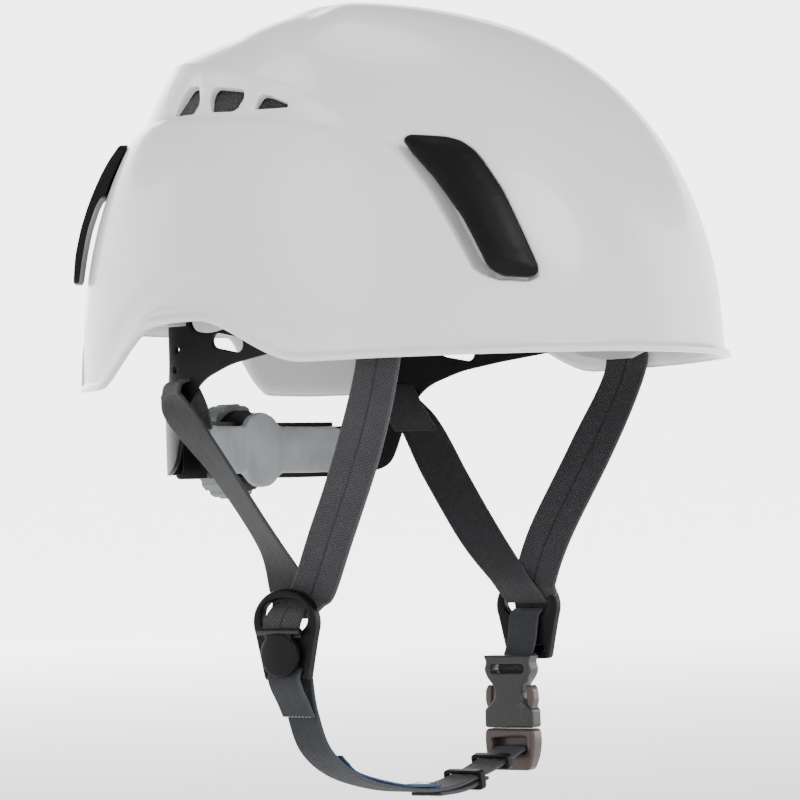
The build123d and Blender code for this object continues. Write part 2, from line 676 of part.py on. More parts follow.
loop_stations = [((72.25, -14.0, -113.5), (0, 1, 0), (0, 0, -1)),
                 ((72.25, -11.5, -134), (0, 1, 0), (0, 0, -1))]
webbing("buckle_strap", loop_stations, chin_width - 1, webbing_thick)
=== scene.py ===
# %% [markdown]
# # Climbing helmet: the visible pieces
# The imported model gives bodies, nodes and joints. This script loads it as a fixed frame and
# builds the visible surfaces round it, all in metres in the same frame: +Z up, -Y the way the
# wearer looks, +X the wearer's left. Lengths below are typed in millimetres and scaled once.
# %% Load the frame and note its size
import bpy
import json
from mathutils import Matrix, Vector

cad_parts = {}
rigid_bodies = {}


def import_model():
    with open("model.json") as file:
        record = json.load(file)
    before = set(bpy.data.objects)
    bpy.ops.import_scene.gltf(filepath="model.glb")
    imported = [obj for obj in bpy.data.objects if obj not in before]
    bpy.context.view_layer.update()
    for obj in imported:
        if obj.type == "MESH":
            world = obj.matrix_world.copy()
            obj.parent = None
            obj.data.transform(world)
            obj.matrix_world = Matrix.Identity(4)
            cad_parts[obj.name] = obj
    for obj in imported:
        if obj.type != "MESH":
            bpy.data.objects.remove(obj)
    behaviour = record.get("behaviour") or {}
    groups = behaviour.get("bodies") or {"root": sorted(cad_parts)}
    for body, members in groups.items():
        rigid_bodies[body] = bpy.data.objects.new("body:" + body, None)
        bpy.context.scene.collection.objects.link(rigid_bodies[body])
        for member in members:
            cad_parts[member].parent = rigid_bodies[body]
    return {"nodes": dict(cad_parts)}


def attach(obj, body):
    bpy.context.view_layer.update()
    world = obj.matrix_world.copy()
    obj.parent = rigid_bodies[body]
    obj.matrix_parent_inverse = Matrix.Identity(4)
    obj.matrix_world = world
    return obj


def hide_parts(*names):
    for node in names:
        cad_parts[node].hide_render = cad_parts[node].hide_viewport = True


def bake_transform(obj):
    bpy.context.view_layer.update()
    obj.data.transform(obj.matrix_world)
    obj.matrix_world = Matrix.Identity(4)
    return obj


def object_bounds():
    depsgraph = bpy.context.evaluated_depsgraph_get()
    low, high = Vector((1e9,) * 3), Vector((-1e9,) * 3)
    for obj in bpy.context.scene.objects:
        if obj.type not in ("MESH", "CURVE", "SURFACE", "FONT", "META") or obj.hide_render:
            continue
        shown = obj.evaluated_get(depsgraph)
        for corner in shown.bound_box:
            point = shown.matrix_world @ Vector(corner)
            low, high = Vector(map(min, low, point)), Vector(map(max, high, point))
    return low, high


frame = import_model()
size_before = [list(corner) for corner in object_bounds()]

import json
import math
import bmesh
import bpy
from mathutils import Matrix, Vector

MM = 0.001
SIDES = (("right", -1), ("left", 1))
print("box in metres:", size_before)

# %% [markdown]
# ## Small helpers
# `step` is the smooth step used by every soft transition. `table` reads a value off a short
# list of points. `rounded` replaces each corner of an outline by a small curve.
# %% Numbers and outlines


def step(low, high, value):
    t = min(1.0, max(0.0, (value - low) / (high - low)))
    return t * t * (3 - 2 * t)


def table(points, value):
    if value <= points[0][0]:
        return points[0][1]
    for (x0, y0), (x1, y1) in zip(points, points[1:]):
        if value <= x1:
            return y0 + (y1 - y0) * (value - x0) / (x1 - x0)
    return points[-1][1]


def rounded(points, radius, parts=5):
    out = []
    for i, corner in enumerate(points):
        p = Vector(corner)
        back = Vector(points[i - 1]) - p
        on = Vector(points[(i + 1) % len(points)]) - p
        r = min(radius, 0.45 * back.length, 0.45 * on.length)
        start = p + back.normalized() * r
        end = p + on.normalized() * r
        for k in range(parts + 1):
            t = k / parts
            out.append(start * (1 - t) ** 2 + p * (2 * t * (1 - t)) + end * t * t)
    return out


def oval(x, y, half_x, half_y, count=40, power=2.0):
    out = []
    for k in range(count):
        a = math.tau * k / count
        c, s = math.cos(a), math.sin(a)
        out.append((x + half_x * math.copysign(abs(c) ** (2 / power), c),
                    y + half_y * math.copysign(abs(s) ** (2 / power), s)))
    return out


def slot_outline(x, y, length, height, turn=0.0):
    r = height / 2
    half = length / 2 - r
    out = []
    for k in range(9):
        a = math.radians(-90 + 180 * k / 8)
        out.append((half + r * math.cos(a), r * math.sin(a)))
    out += [(-px, -py) for px, py in out]
    c, s = math.cos(math.radians(turn)), math.sin(math.radians(turn))
    return [(x + px * c - py * s, y + px * s + py * c) for px, py in out]


def flip(points):
    return [(-x, y) for x, y in points]


print("corner test:", len(rounded([(0, 0), (10, 0), (10, 10)], 2)), "points")

# %% [markdown]
# ## From bmesh or curve to a finished piece
# `mesh_object` makes the object with smooth faces and sharp edges above an angle. `settle`
# applies modifiers so that the mesh is final before it rides with its body. `plate` fills flat
# outlines with a rounded edge, slices them into small faces and lays them where `put` says.
# %% Making pieces


def mesh_object(name, bm, angle=40):
    mesh = bpy.data.meshes.new(name)
    bm.to_mesh(mesh)
    bm.free()
    obj = bpy.data.objects.new(name, mesh)
    bpy.context.scene.collection.objects.link(obj)
    mesh.shade_smooth()
    mesh.set_sharp_from_angle(angle=math.radians(angle))
    return obj


def settle(obj, angle=40):
    bpy.context.view_layer.update()
    graph = bpy.context.evaluated_depsgraph_get()
    mesh = bpy.data.meshes.new_from_object(obj.evaluated_get(graph))
    obj.modifiers.clear()
    obj.data = mesh
    mesh.shade_smooth()
    mesh.set_sharp_from_angle(angle=math.radians(angle))
    return obj


def slice_up(bm, axis, pitch):
    values = [v.co[axis] for v in bm.verts]
    at = min(values) + pitch
    while at < max(values) - pitch * 0.3:
        point = Vector((0, 0, 0))
        point[axis] = at
        normal = Vector((0, 0, 0))
        normal[axis] = 1
        bmesh.ops.bisect_plane(bm, geom=bm.verts[:] + bm.edges[:] + bm.faces[:], plane_co=point,
                               plane_no=normal, dist=1e-4)
        at += pitch


def plate_bmesh(loops, thickness, edge, resolution=2, pitch=None):
    curve = bpy.data.curves.new("outline", "CURVE")
    curve.dimensions = "2D"
    curve.fill_mode = "BOTH"
    curve.extrude = thickness / 2 - edge
    curve.bevel_depth = edge
    curve.bevel_resolution = resolution
    curve.offset = -edge
    for loop in loops:
        spline = curve.splines.new("POLY")
        spline.points.add(len(loop) - 1)
        spline.use_cyclic_u = True
        for point, co in zip(spline.points, loop):
            point.co = (co[0], co[1], 0, 1)
    holder = bpy.data.objects.new("outline", curve)
    bpy.context.scene.collection.objects.link(holder)
    bpy.context.view_layer.update()
    mesh = bpy.data.meshes.new_from_object(holder.evaluated_get(
        bpy.context.evaluated_depsgraph_get()))
    bm = bmesh.new()
    bm.from_mesh(mesh)
    bpy.data.objects.remove(holder)
    bpy.data.meshes.remove(mesh)
    bmesh.ops.remove_doubles(bm, verts=bm.verts[:], dist=0.004)
    if pitch:
        slice_up(bm, 0, pitch)
        slice_up(bm, 1, pitch)
    return bm


def plate(name, loops, thickness, edge, put, pitch=None, resolution=2):
    bm = plate_bmesh(loops, thickness, edge, resolution, pitch)
    for v in bm.verts:
        v.co = Vector(put(v.co.x, v.co.y, v.co.z)) * MM
    bmesh.ops.recalc_face_normals(bm, faces=bm.faces[:])
    obj = mesh_object(name, bm)
    obj.modifiers.new("even shading", "WEIGHTED_NORMAL").keep_sharp = True
    return obj


def finish(obj, body, slot, material, *stands_for):
    obj.data.materials.clear()
    obj.data.materials.append(material)
    if stands_for:
        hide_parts(*stands_for)
    if body:
        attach(obj, body)
    return obj


print("helpers ready")

# %% [markdown]
# ## Shared surface effects
# Each effect is a node group that gives out only colours, masks or normals. They read Object
# coordinates in metres, so their scale is the real one. `grain` is moulded-plastic texture,
# `patches` the slow change of tone, `scuffs` thin scratches, and `weave` the ribs of webbing.
# %% Node groups


def group(name, inputs, outputs):
    tree = bpy.data.node_groups.new(name, "ShaderNodeTree")
    for label, kind, value in inputs:
        socket = tree.interface.new_socket(label, in_out="INPUT", socket_type=kind)
        if value is not None:
            socket.default_value = value
    for label, kind in outputs:
        tree.interface.new_socket(label, in_out="OUTPUT", socket_type=kind)
    return tree, tree.nodes.new("NodeGroupInput"), tree.nodes.new("NodeGroupOutput")


def maths(tree, kind, a, b=None, clamp=False):
    node = tree.nodes.new("ShaderNodeMath")
    node.operation = kind
    node.use_clamp = clamp
    for i, value in enumerate((a, b)):
        if value is None:
            continue
        if isinstance(value, (int, float)):
            node.inputs[i].default_value = value
        else:
            tree.links.new(value, node.inputs[i])
    return node.outputs[0]


def spread(tree, value, low, high, to_low=0.0, to_high=1.0):
    node = tree.nodes.new("ShaderNodeMapRange")
    node.interpolation_type = "SMOOTHSTEP"
    tree.links.new(value, node.inputs[0])
    for i, number in enumerate((low, high, to_low, to_high)):
        node.inputs[i + 1].default_value = number
    return node.outputs[0]


def noise_value(tree, scale, detail=4.0, stretch=None, socket=None):
    coords = tree.nodes.new("ShaderNodeTexCoord").outputs["Object"]
    if stretch:
        mapping = tree.nodes.new("ShaderNodeMapping")
        mapping.inputs["Scale"].default_value = stretch
        mapping.inputs["Rotation"].default_value = (0.5, 0.3, 0.8)
        tree.links.new(coords, mapping.inputs["Vector"])
        coords = mapping.outputs[0]
    node = tree.nodes.new("ShaderNodeTexNoise")
    node.inputs["Scale"].default_value = scale
    node.inputs["Detail"].default_value = detail
    if socket:
        tree.links.new(socket, node.inputs["Scale"])
    tree.links.new(coords, node.inputs["Vector"])
    return node.outputs["Fac"]


def bump(tree, height, strength, distance):
    node = tree.nodes.new("ShaderNodeBump")
    node.inputs["Distance"].default_value = distance
    if isinstance(strength, float):
        node.inputs["Strength"].default_value = strength
    else:
        tree.links.new(strength, node.inputs["Strength"])
    tree.links.new(height, node.inputs["Height"])
    return node.outputs[0]


def mixed(tree, factor, a, b, blend="MIX"):
    node = tree.nodes.new("ShaderNodeMix")
    node.data_type = "RGBA"
    node.blend_type = blend
    if isinstance(factor, float):
        node.inputs["Factor"].default_value = factor
    else:
        tree.links.new(factor, node.inputs["Factor"])
    for key, value in (("A", a), ("B", b)):
        if isinstance(value, tuple):
            node.inputs[key].default_value = (*value, 1)
        else:
            tree.links.new(value, node.inputs[key])
    return node.outputs["Result"]


def run_map(tree):
    split = tree.nodes.new("ShaderNodeSeparateXYZ")
    uv = tree.nodes.new("ShaderNodeUVMap")
    uv.uv_map = "run"
    tree.links.new(uv.outputs[0], split.inputs[0])
    return split.outputs[0], split.outputs[1]


def make_grain():
    tree, given, out = group("grain", [("Scale", "NodeSocketFloat", 1500.0),
                                       ("Depth", "NodeSocketFloat", 0.2)],
                             [("Normal", "NodeSocketVector"), ("Height", "NodeSocketFloat")])
    height = noise_value(tree, 1500.0, 2.0, socket=given.outputs["Scale"])
    tree.links.new(bump(tree, height, given.outputs["Depth"], 0.0002), out.inputs["Normal"])
    tree.links.new(height, out.inputs["Height"])
    return tree


def make_patches():
    tree, given, out = group("patches", [("Dark", "NodeSocketColor", (0, 0, 0, 1)),
                                         ("Light", "NodeSocketColor", (1, 1, 1, 1)),
                                         ("Scale", "NodeSocketFloat", 30.0)],
                             [("Color", "NodeSocketColor"), ("Mask", "NodeSocketFloat")])
    mask = spread(tree, noise_value(tree, 30.0, 5.0, socket=given.outputs["Scale"]), 0.32, 0.68)
    tone = mixed(tree, mask, given.outputs["Dark"], given.outputs["Light"])
    tree.links.new(tone, out.inputs["Color"])
    tree.links.new(mask, out.inputs["Mask"])
    return tree


def make_scuffs():
    tree, given, out = group("scuffs", [("Amount", "NodeSocketFloat", 1.0)],
                             [("Mask", "NodeSocketFloat")])
    lines = spread(tree, noise_value(tree, 90.0, 3.0, (1, 9, 1)), 0.69, 0.74)
    crossing = spread(tree, noise_value(tree, 70.0, 3.0, (11, 1, 2)), 0.70, 0.75)
    where = spread(tree, noise_value(tree, 22.0, 2.0), 0.48, 0.62)
    both = maths(tree, "MAXIMUM", lines, crossing)
    kept = maths(tree, "MULTIPLY", maths(tree, "MULTIPLY", both, where), given.outputs["Amount"], True)
    tree.links.new(kept, out.inputs["Mask"])
    return tree


def make_weave():
    tree, given, out = group("weave", [("Rib", "NodeSocketFloat", 0.0015),
                                       ("Warp", "NodeSocketFloat", 0.0009)],
                             [("Height", "NodeSocketFloat"), ("Shade", "NodeSocketFloat")])
    u, v = run_map(tree)
    warp_phase = maths(tree, "MULTIPLY", maths(tree, "DIVIDE", u, given.outputs["Warp"]), math.tau)
    warp = maths(tree, "ABSOLUTE", maths(tree, "SINE", maths(tree, "MULTIPLY", warp_phase, 0.5)))
    odd = maths(tree, "ROUND", maths(tree, "PINGPONG", maths(
        tree, "DIVIDE", u, given.outputs["Warp"]), 1.0))
    shifted = maths(tree, "ADD", maths(tree, "DIVIDE", v, given.outputs["Rib"]),
                    maths(tree, "MULTIPLY", odd, 0.5))
    rib = maths(tree, "ABSOLUTE", maths(tree, "SINE", maths(tree, "MULTIPLY", shifted, math.pi)))
    height = maths(tree, "MULTIPLY", maths(tree, "POWER", warp, 0.22), maths(tree, "POWER", rib, 0.7))
    fibres = noise_value(tree, 9000.0, 2.0)
    height = maths(tree, "ADD", height, maths(tree, "MULTIPLY", fibres, 0.35))
    tree.links.new(height, out.inputs["Height"])
    tree.links.new(spread(tree, height, 0.15, 1.1), out.inputs["Shade"])
    return tree


GRAIN, PATCHES, SCUFFS, WEAVE = make_grain(), make_patches(), make_scuffs(), make_weave()
print("node groups:", [g.name for g in (GRAIN, PATCHES, SCUFFS, WEAVE)])

# %% [markdown]
# ## Materials
# `moulded` covers plastics and rubbers: two close tones in patches, fine grain, scratches that
# are a little lighter and duller. `woven` covers webbing, with its ribs from the weave group.
# %% Material makers


def use(tree, which, **values):
    node = tree.nodes.new("ShaderNodeGroup")
    node.node_tree = which
    for key, value in values.items():
        node.inputs[key].default_value = value
    return node


def new_material(name, colour):
    material = bpy.data.materials.new(name)
    material.use_nodes = True
    material.diffuse_color = (*colour, 1)
    return material, material.node_tree, material.node_tree.nodes["Principled BSDF"]


def moulded(name, colour, rough=0.4, grain=1500.0, depth=0.2, vary=0.12, scuff=0.5, coat=0.0,
            patch=25.0, metal=0.0, scuff_tone=None, spec=0.14):
    material, tree, shader = new_material(name, colour)
    dark = tuple(c * (1 - vary) for c in colour)
    light = tuple(min(1, c * (1 + vary)) for c in colour)
    tone = use(tree, PATCHES, Dark=(*dark, 1), Light=(*light, 1), Scale=patch)
    marks = use(tree, SCUFFS, Amount=scuff)
    worn = scuff_tone or tuple(min(1, c * 1.5 + 0.02) for c in colour)
    colour_out = mixed(tree, marks.outputs[0], tone.outputs["Color"], worn)
    tree.links.new(colour_out, shader.inputs["Base Color"])
    rough_out = maths(tree, "ADD", maths(tree, "MULTIPLY", tone.outputs["Mask"], 0.08), rough - 0.04)
    rough_out = maths(tree, "ADD", rough_out, maths(tree, "MULTIPLY", marks.outputs[0], 0.2), True)
    tree.links.new(rough_out, shader.inputs["Roughness"])
    surface = use(tree, GRAIN, Scale=grain, Depth=depth)
    tree.links.new(surface.outputs["Normal"], shader.inputs["Normal"])
    shader.inputs["Metallic"].default_value = metal
    shader.inputs["Coat Weight"].default_value = coat
    shader.inputs["Coat Roughness"].default_value = 0.08
    shader.inputs["Specular IOR Level"].default_value = spec
    return material


def woven(name, valley, ridge, rib=0.0015, warp=0.0009, seam=0.0, sheen=0.3, depth=0.6, edge=0.009):
    material, tree, shader = new_material(name, ridge)
    weave = use(tree, WEAVE, Rib=rib, Warp=warp)
    colour_out = mixed(tree, weave.outputs["Shade"], valley, ridge)
    tone = use(tree, PATCHES, Dark=(0.86, 0.86, 0.87, 1), Light=(1.08, 1.08, 1.07, 1), Scale=60.0)
    tinted = mixed(tree, 1.0, colour_out, tone.outputs["Color"], "MULTIPLY")
    across = maths(tree, "ABSOLUTE", run_map(tree)[0])
    at_edge = spread(tree, across, edge - 0.0006, edge)
    colour_out = mixed(tree, at_edge, tinted, tuple(c * 1.5 for c in ridge))
    if seam:
        line = spread(tree, across, 0.0, seam, 1.0, 0.0)
        colour_out = mixed(tree, line, colour_out, tuple(c * 0.35 for c in valley))
    tree.links.new(colour_out, shader.inputs["Base Color"])
    shader.inputs["Roughness"].default_value = 0.72
    shader.inputs["Sheen Weight"].default_value = sheen
    shader.inputs["Sheen Roughness"].default_value = 0.4
    shader.inputs["Specular IOR Level"].default_value = 0.35
    tree.links.new(bump(tree, weave.outputs["Height"], depth, 0.0004), shader.inputs["Normal"])
    return material


def foamed(name, colour, cell=900.0, depth=0.5, bead=0.0, rough=0.85):
    material, tree, shader = new_material(name, colour)
    coords = tree.nodes.new("ShaderNodeTexCoord")
    cells = tree.nodes.new("ShaderNodeTexVoronoi")
    cells.feature = "DISTANCE_TO_EDGE" if bead else "F1"
    cells.inputs["Scale"].default_value = cell
    tree.links.new(coords.outputs["Object"], cells.inputs["Vector"])
    dark = tuple(c * 0.78 for c in colour)
    light = tuple(min(1, c * 1.12) for c in colour)
    tone = use(tree, PATCHES, Dark=(*dark, 1), Light=(*light, 1), Scale=45.0)
    edge = spread(tree, cells.outputs["Distance"], 0.0, 0.12 if bead else 0.5)
    tree.links.new(mixed(tree, edge, dark, tone.outputs["Color"]), shader.inputs["Base Color"])
    shader.inputs["Roughness"].default_value = rough
    shader.inputs["Sheen Weight"].default_value = 0.2
    tree.links.new(bump(tree, edge, depth, 0.0005), shader.inputs["Normal"])
    return material


print("material makers ready")

# %% Materials
SHELL = moulded("shell_white", (0.80, 0.805, 0.795), rough=0.34, grain=420.0, depth=0.03, vary=0.012,
                scuff=0.25, coat=0.3, patch=14.0, scuff_tone=(0.66, 0.66, 0.65), spec=0.5)
BLACK = moulded("black_plastic", (0.0055, 0.0055, 0.006), rough=0.45, grain=2600.0, depth=0.25)
CLIP = moulded("clip_plastic", (0.004, 0.004, 0.0045), rough=0.42, grain=2600.0, depth=0.15)
ANCHOR = moulded("anchor_plastic", (0.56, 0.56, 0.55), rough=0.5, grain=1800.0, depth=0.25, vary=0.06)
RACK = moulded("rack_plastic", (0.008, 0.008, 0.008), rough=0.42, depth=0.25)
BUCKLE = moulded("buckle_plastic", (0.028, 0.028, 0.027), rough=0.28, grain=2800.0, depth=0.12,
                 vary=0.08, scuff=0.7, spec=0.35)
PRONG = moulded("prong_plastic", (0.062, 0.042, 0.039), rough=0.22, grain=2600.0, depth=0.1, vary=0.1,
                spec=0.45)
RUBBER = moulded("keeper_rubber", (0.005, 0.005, 0.005), rough=0.5, grain=2200.0, depth=0.2)
GRIP = moulded("grip_rubber", (0.2, 0.22, 0.205), rough=0.62, grain=1700.0, depth=0.5, vary=0.1)
STEEL = moulded("zinc_steel", (0.55, 0.55, 0.54), rough=0.3, grain=3500.0, depth=0.2, metal=1.0)
FOAM = foamed("bead_foam", (0.12, 0.12, 0.123), cell=330.0, depth=0.4, bead=1.0)
PAD = foamed("pad_foam", (0.33, 0.345, 0.36), cell=1500.0, depth=0.5)
MESH = foamed("vent_mesh", (0.012, 0.009, 0.0095), cell=1100.0, depth=0.9, rough=0.8)
STEEL_DARK = moulded("dark_steel", (0.05, 0.05, 0.05), rough=0.35, grain=3500.0, depth=0.2, metal=1.0)
WEBBING = woven("webbing_ribbed", (0.009, 0.0094, 0.0105), (0.036, 0.037, 0.041), seam=0.0007,
                rib=0.00135, warp=0.001, sheen=0.1, depth=1.0, edge=0.0097)
WEBBING_SOFT = woven("webbing_fine", (0.008, 0.0084, 0.0095), (0.03, 0.031, 0.034), rib=0.0012,
                     warp=0.0007, sheen=0.1, depth=0.8, edge=0.0097)
CHIN = woven("webbing_chin", (0.007, 0.0078, 0.0095), (0.026, 0.029, 0.035), rib=0.001, warp=0.0006,
             sheen=0.1, depth=0.8, edge=0.0071)
LINING = woven("webbing_blue", (0.004, 0.013, 0.03), (0.012, 0.045, 0.1), rib=0.0011, warp=0.0008,
               sheen=0.1, edge=0.0062)
THREAD = moulded("thread", (0.33, 0.33, 0.34), rough=0.7, grain=6000.0, depth=0.6, scuff=0.0)
print(len(bpy.data.materials), "materials")

# %% [markdown]
# ## Camera, light and floor
# The camera stands 1.3 m off, level with the cheek, where the nose of the helmet points right
# and slightly away. The floor is a wide pale dish, so that no hard horizon line crosses behind.
# It lies 30 mm below the helmet, clear of the released plug, and carries a painted glow: an emission
# that is brighter behind the helmet, which stands in for a lit backdrop and also throws light on the
# helmet.
# %% Camera
PITCH = math.radians(2.28)
HEADING = math.radians(54.84)


def tilted(x, y, z):
    return Vector((x, y * math.cos(PITCH) - z * math.sin(PITCH),
                   y * math.sin(PITCH) + z * math.cos(PITCH)))


camera_data = bpy.data.cameras.new("studio_camera")
camera_data.lens = 142.97
camera_data.sensor_width = 36.0
camera_data.shift_x = 0.0115
camera_data.shift_y = 0.05125
camera_data.clip_end = 50.0
camera = bpy.data.objects.new("studio_camera", camera_data)
ahead = tilted(math.sin(HEADING), math.cos(HEADING), 0)
upward = tilted(0, 0, 1)
sideways = ahead.cross(upward)
turn = Matrix((sideways, upward, -ahead)).transposed().to_4x4()
eye = tilted(-1.3 * math.sin(HEADING), -1.3 * math.cos(HEADING), -0.03545)
camera.matrix_world = Matrix.Translation(eye) @ turn
bpy.context.scene.collection.objects.link(camera)
bpy.context.scene.camera = camera
print("camera at", [round(c, 3) for c in eye])

# %% Lights, world and floor
FLOOR_GAP = 0.03
FLAT_RADIUS = 4.5
floor_bm = bmesh.new()
bmesh.ops.create_grid(floor_bm, x_segments=48, y_segments=48, size=14.0)
for v in floor_bm.verts:
    away = math.hypot(v.co.x, v.co.y)
    v.co.z = size_before[0][2] - FLOOR_GAP + 0.05 * max(0.0, away - FLAT_RADIUS) ** 2
floor = mesh_object("floor", floor_bm, 80)
# pale grey is the floor's own colour; the emission set below is a painted glow
glowing_paint = moulded("floor_paint_and_glow", (0.9, 0.9, 0.9), rough=0.85, grain=60.0, depth=0.02, vary=0.008,
                scuff=0.0, patch=1.5)
tree = glowing_paint.node_tree
behind = tree.nodes.new("ShaderNodeVectorMath")
behind.operation = "DOT_PRODUCT"
behind.inputs[1].default_value = (math.sin(HEADING), math.cos(HEADING), 0)
tree.links.new(tree.nodes.new("ShaderNodeTexCoord").outputs["Object"], behind.inputs[0])
# painted glow: emission strength rises from 0.4 to 3.8 towards the side behind the helmet, standing in
# for a lit backdrop
painted_glow_strength = spread(tree, behind.outputs["Value"], -0.3, 2.8, 0.4, 3.8)
tree.nodes["Principled BSDF"].inputs["Emission Color"].default_value = (1, 1, 1, 1)
tree.links.new(painted_glow_strength, tree.nodes["Principled BSDF"].inputs["Emission Strength"])
floor.data.materials.append(glowing_paint)


def lamp(name, place, target, size, power, tone=(1, 1, 1)):
    data = bpy.data.lights.new(name, "AREA")
    data.shape = "DISK"
    data.size = size
    data.energy = power
    data.color = tone
    obj = bpy.data.objects.new(name, data)
    obj.location = place
    aim = Vector(target) - Vector(place)
    obj.rotation_euler = aim.to_track_quat("-Z", "Y").to_euler()
    bpy.context.scene.collection.objects.link(obj)


lamp("key", (-0.6, -2.6, 1.5), (0, 0, 0), 1.4, 48)
lamp("fill", (-2.6, 0.4, 0.9), (0, 0, -0.02), 1.6, 20)
lamp("top", (0.3, 0.5, 2.6), (0, 0, 0), 1.8, 26)
lamp("back", (1.6, 2.2, 0.9), (0, 0, 0), 1.4, 16)
lamp("low", (-1.7, -1.5, -0.12), (0, 0, -0.06), 0.6, 3)
world = bpy.data.worlds.new("studio")
world.use_nodes = True
world.node_tree.nodes["Background"].inputs["Color"].default_value = (1.0, 1.0, 1.0, 1)
world.node_tree.nodes["Background"].inputs["Strength"].default_value = 0.42
bpy.context.scene.world = world

# %% [markdown]
# ## The shell's surface
# A superellipse in plan and a squared-off arc in side view give one point for each bearing
# (0 at the front, 90 at the wearer's left) and height. Both the shell and the clips use it.
# %% Surface formula
RIDGE = [(60, 80), (64, 84), (68, 88), (77, 98.4), (89, 104), (103, 109), (118, 113), (150, 116.5)]
CREASE = [(50, 68), (60, 70), (68, 81), (81, 87.3), (99, 90.3), (120, 94), (150, 97.5)]
VENTS = [[(112.6, 94.6), (111.6, 100.4), (109.2, 104.4), (104.6, 103.9), (103.0, 97.6), (104.6, 93.9)],
         [(98.6, 93.4), (99.8, 99.4), (98.7, 102.4), (88.4, 99.4), (88.4, 96.4), (90.4, 93), (92, 92.4)],
         [(85.9, 91.9), (85.2, 94.8), (83.8, 96.8), (82.2, 96.4), (77.2, 92.5), (77.4, 90.9)]]


def surface(bearing, height, inset=0.0):
    across, forward = math.sin(math.radians(bearing)), math.cos(math.radians(bearing))
    level = min(1.0, max(0.0, height / (141.0 - inset)))
    reach = (140.5 if forward > 0 else 132.0) - inset
    lengthwise = reach * math.sqrt(1 - level ** 2)
    broad = (108.0 - inset) * (1 - level ** 3.15) ** (1 / 3.15)
    size = (abs(forward) ** 2.14 + abs(across) ** 2.14) ** (-1 / 2.14)
    return Vector((across * size * broad, -forward * size * lengthwise, height))


def normal_at(bearing, height):
    if height > 140.0:
        return Vector((0, 0, 1))
    h = min(height, 139.0)
    along = surface(bearing + 0.5, h) - surface(bearing - 0.5, h)
    rise = surface(bearing, h + 0.5) - surface(bearing, h - 0.5)
    return along.cross(rise).normalized()


def rim(bearing):
    p = surface(bearing, 0)
    side = -7 + 18.3 * step(-34, 16, p.y) - 23.1 * step(36, 84, p.y) + 2 * step(95, 130, p.y)
    if p.y > 70:
        side = max(side, 15 - 27 * step(46, 64, abs(p.x)))
    return side


print("rim heights:", [round(rim(b), 1) for b in range(0, 181, 30)])

# %% [markdown]
# ## Relief on the shell
# A ridge stands out over the vents, with the crown lower behind it and a dished band under it.
# There is a pocket at each temple for the clip, a shallow hollow over the ear arch and a small
# bead along the rim.
# `temple` gives the clip's flat coordinates; the wearer's left is mirrored on to the right.
# %% Relief
RIDGE_OUT = 4.4
CROWN_FALL = 7.0
BAND_FALL = 6.4
VENT_DISH = 0.8
ARCH_HOLLOW = 1.1
POCKET_DEPTH = 6.2
TEMPLE = Vector((-76, -95, 48))
TEMPLE_X = Vector((0.697, -0.718, 0)).normalized()
TEMPLE_Z = Vector((-0.70, -0.68, 0.22)).normalized()
TEMPLE_Y = TEMPLE_Z.cross(TEMPLE_X)
POCKET_LEFT = [(-35.7, 33.6), (-31.5, 27.3), (-25.2, 18.5), (-18.3, 7.5), (-12.5, -4.6),
               (-7.2, -16), (-3.9, -23.3), (0.7, -26.6)]
POCKET_REST = [(0.7, -26.6), (7.0, -28.6), (18, -29.2), (21.3, -27.6), (21.6, -24), (10.3, 5.9),
               (3.8, 18.3), (0.6, 23.1), (-3.9, 27), (-9.2, 28.9), (-23.2, 30.8), (-35.7, 33.6)]


def temple(point):
    p = Vector((-abs(point.x), point.y, point.z)) - TEMPLE
    return p.dot(TEMPLE_X), p.dot(TEMPLE_Y)


def line_distance(line, x, y):
    best = 1e9
    for (x0, y0), (x1, y1) in zip(line, line[1:]):
        dx, dy = x1 - x0, y1 - y0
        t = min(1.0, max(0.0, ((x - x0) * dx + (y - y0) * dy) / (dx * dx + dy * dy)))
        best = min(best, math.hypot(x - x0 - t * dx, y - y0 - t * dy))
    return best


def inside(loop, x, y):
    found = False
    for (x0, y0), (x1, y1) in zip(loop, loop[1:] + loop[:1]):
        if (y0 > y) != (y1 > y) and x < (x1 - x0) * (y - y0) / (y1 - y0) + x0:
            found = not found
    return found


def pocket(x, y):
    if not (-38 < x < 24 and -31 < y < 36) or not inside(POCKET_LEFT + POCKET_REST[1:-1], x, y):
        return 0.0
    fall = min(1.0, line_distance(POCKET_LEFT, x, y) / (5.5 + 4.5 * step(-10, 30, y)))
    edge_width = 1.3 + 4.0 * step(14, 30, y) * step(4, -14, x)
    return POCKET_DEPTH * fall ** 0.8 * step(0, edge_width, line_distance(POCKET_REST, x, y))


def relief(bearing, height, low):
    b = abs(bearing)
    strength = step(61, 84, b)
    ridge, crease = table(RIDGE, b), table(CREASE, b)
    if height > ridge:
        out = RIDGE_OUT - CROWN_FALL * min(1.0, (height - ridge) / 15) ** 0.8
        out *= 1 - step(136, 140.5, height)
    else:
        down = (ridge - height) / (ridge - crease)
        out = RIDGE_OUT - BAND_FALL * min(1.0, down) ** 0.75
        out *= 1 - step(crease + 1.2, crease - 0.9 - 7.0 * step(112, 132, b), height)
    out *= strength
    for loop in VENTS:
        if abs(b - loop[0][0]) < 16 and abs(height - loop[0][1]) < 14:
            flat = [(at * 1.65, tall) for at, tall in loop]
            away = line_distance(flat + flat[:1], b * 1.65, height)
            out -= VENT_DISH * (1 - step(0.2, 2.6, 0.0 if inside(flat, b * 1.65, height) else away))
    up = height - low
    arch = step(66, 82, b) * (1 - step(118, 132, b))
    out -= ARCH_HOLLOW * arch * step(4.5, 7.5, up) * (1 - step(13, 20, up))
    flare = 1.5 + 0.9 * (1 - step(20, 55, b))
    out += flare * (1 - step(1.9, 3.3, up)) + 0.5 * (1 - step(3, 14, up)) * (1 - step(20, 70, b))
    return out


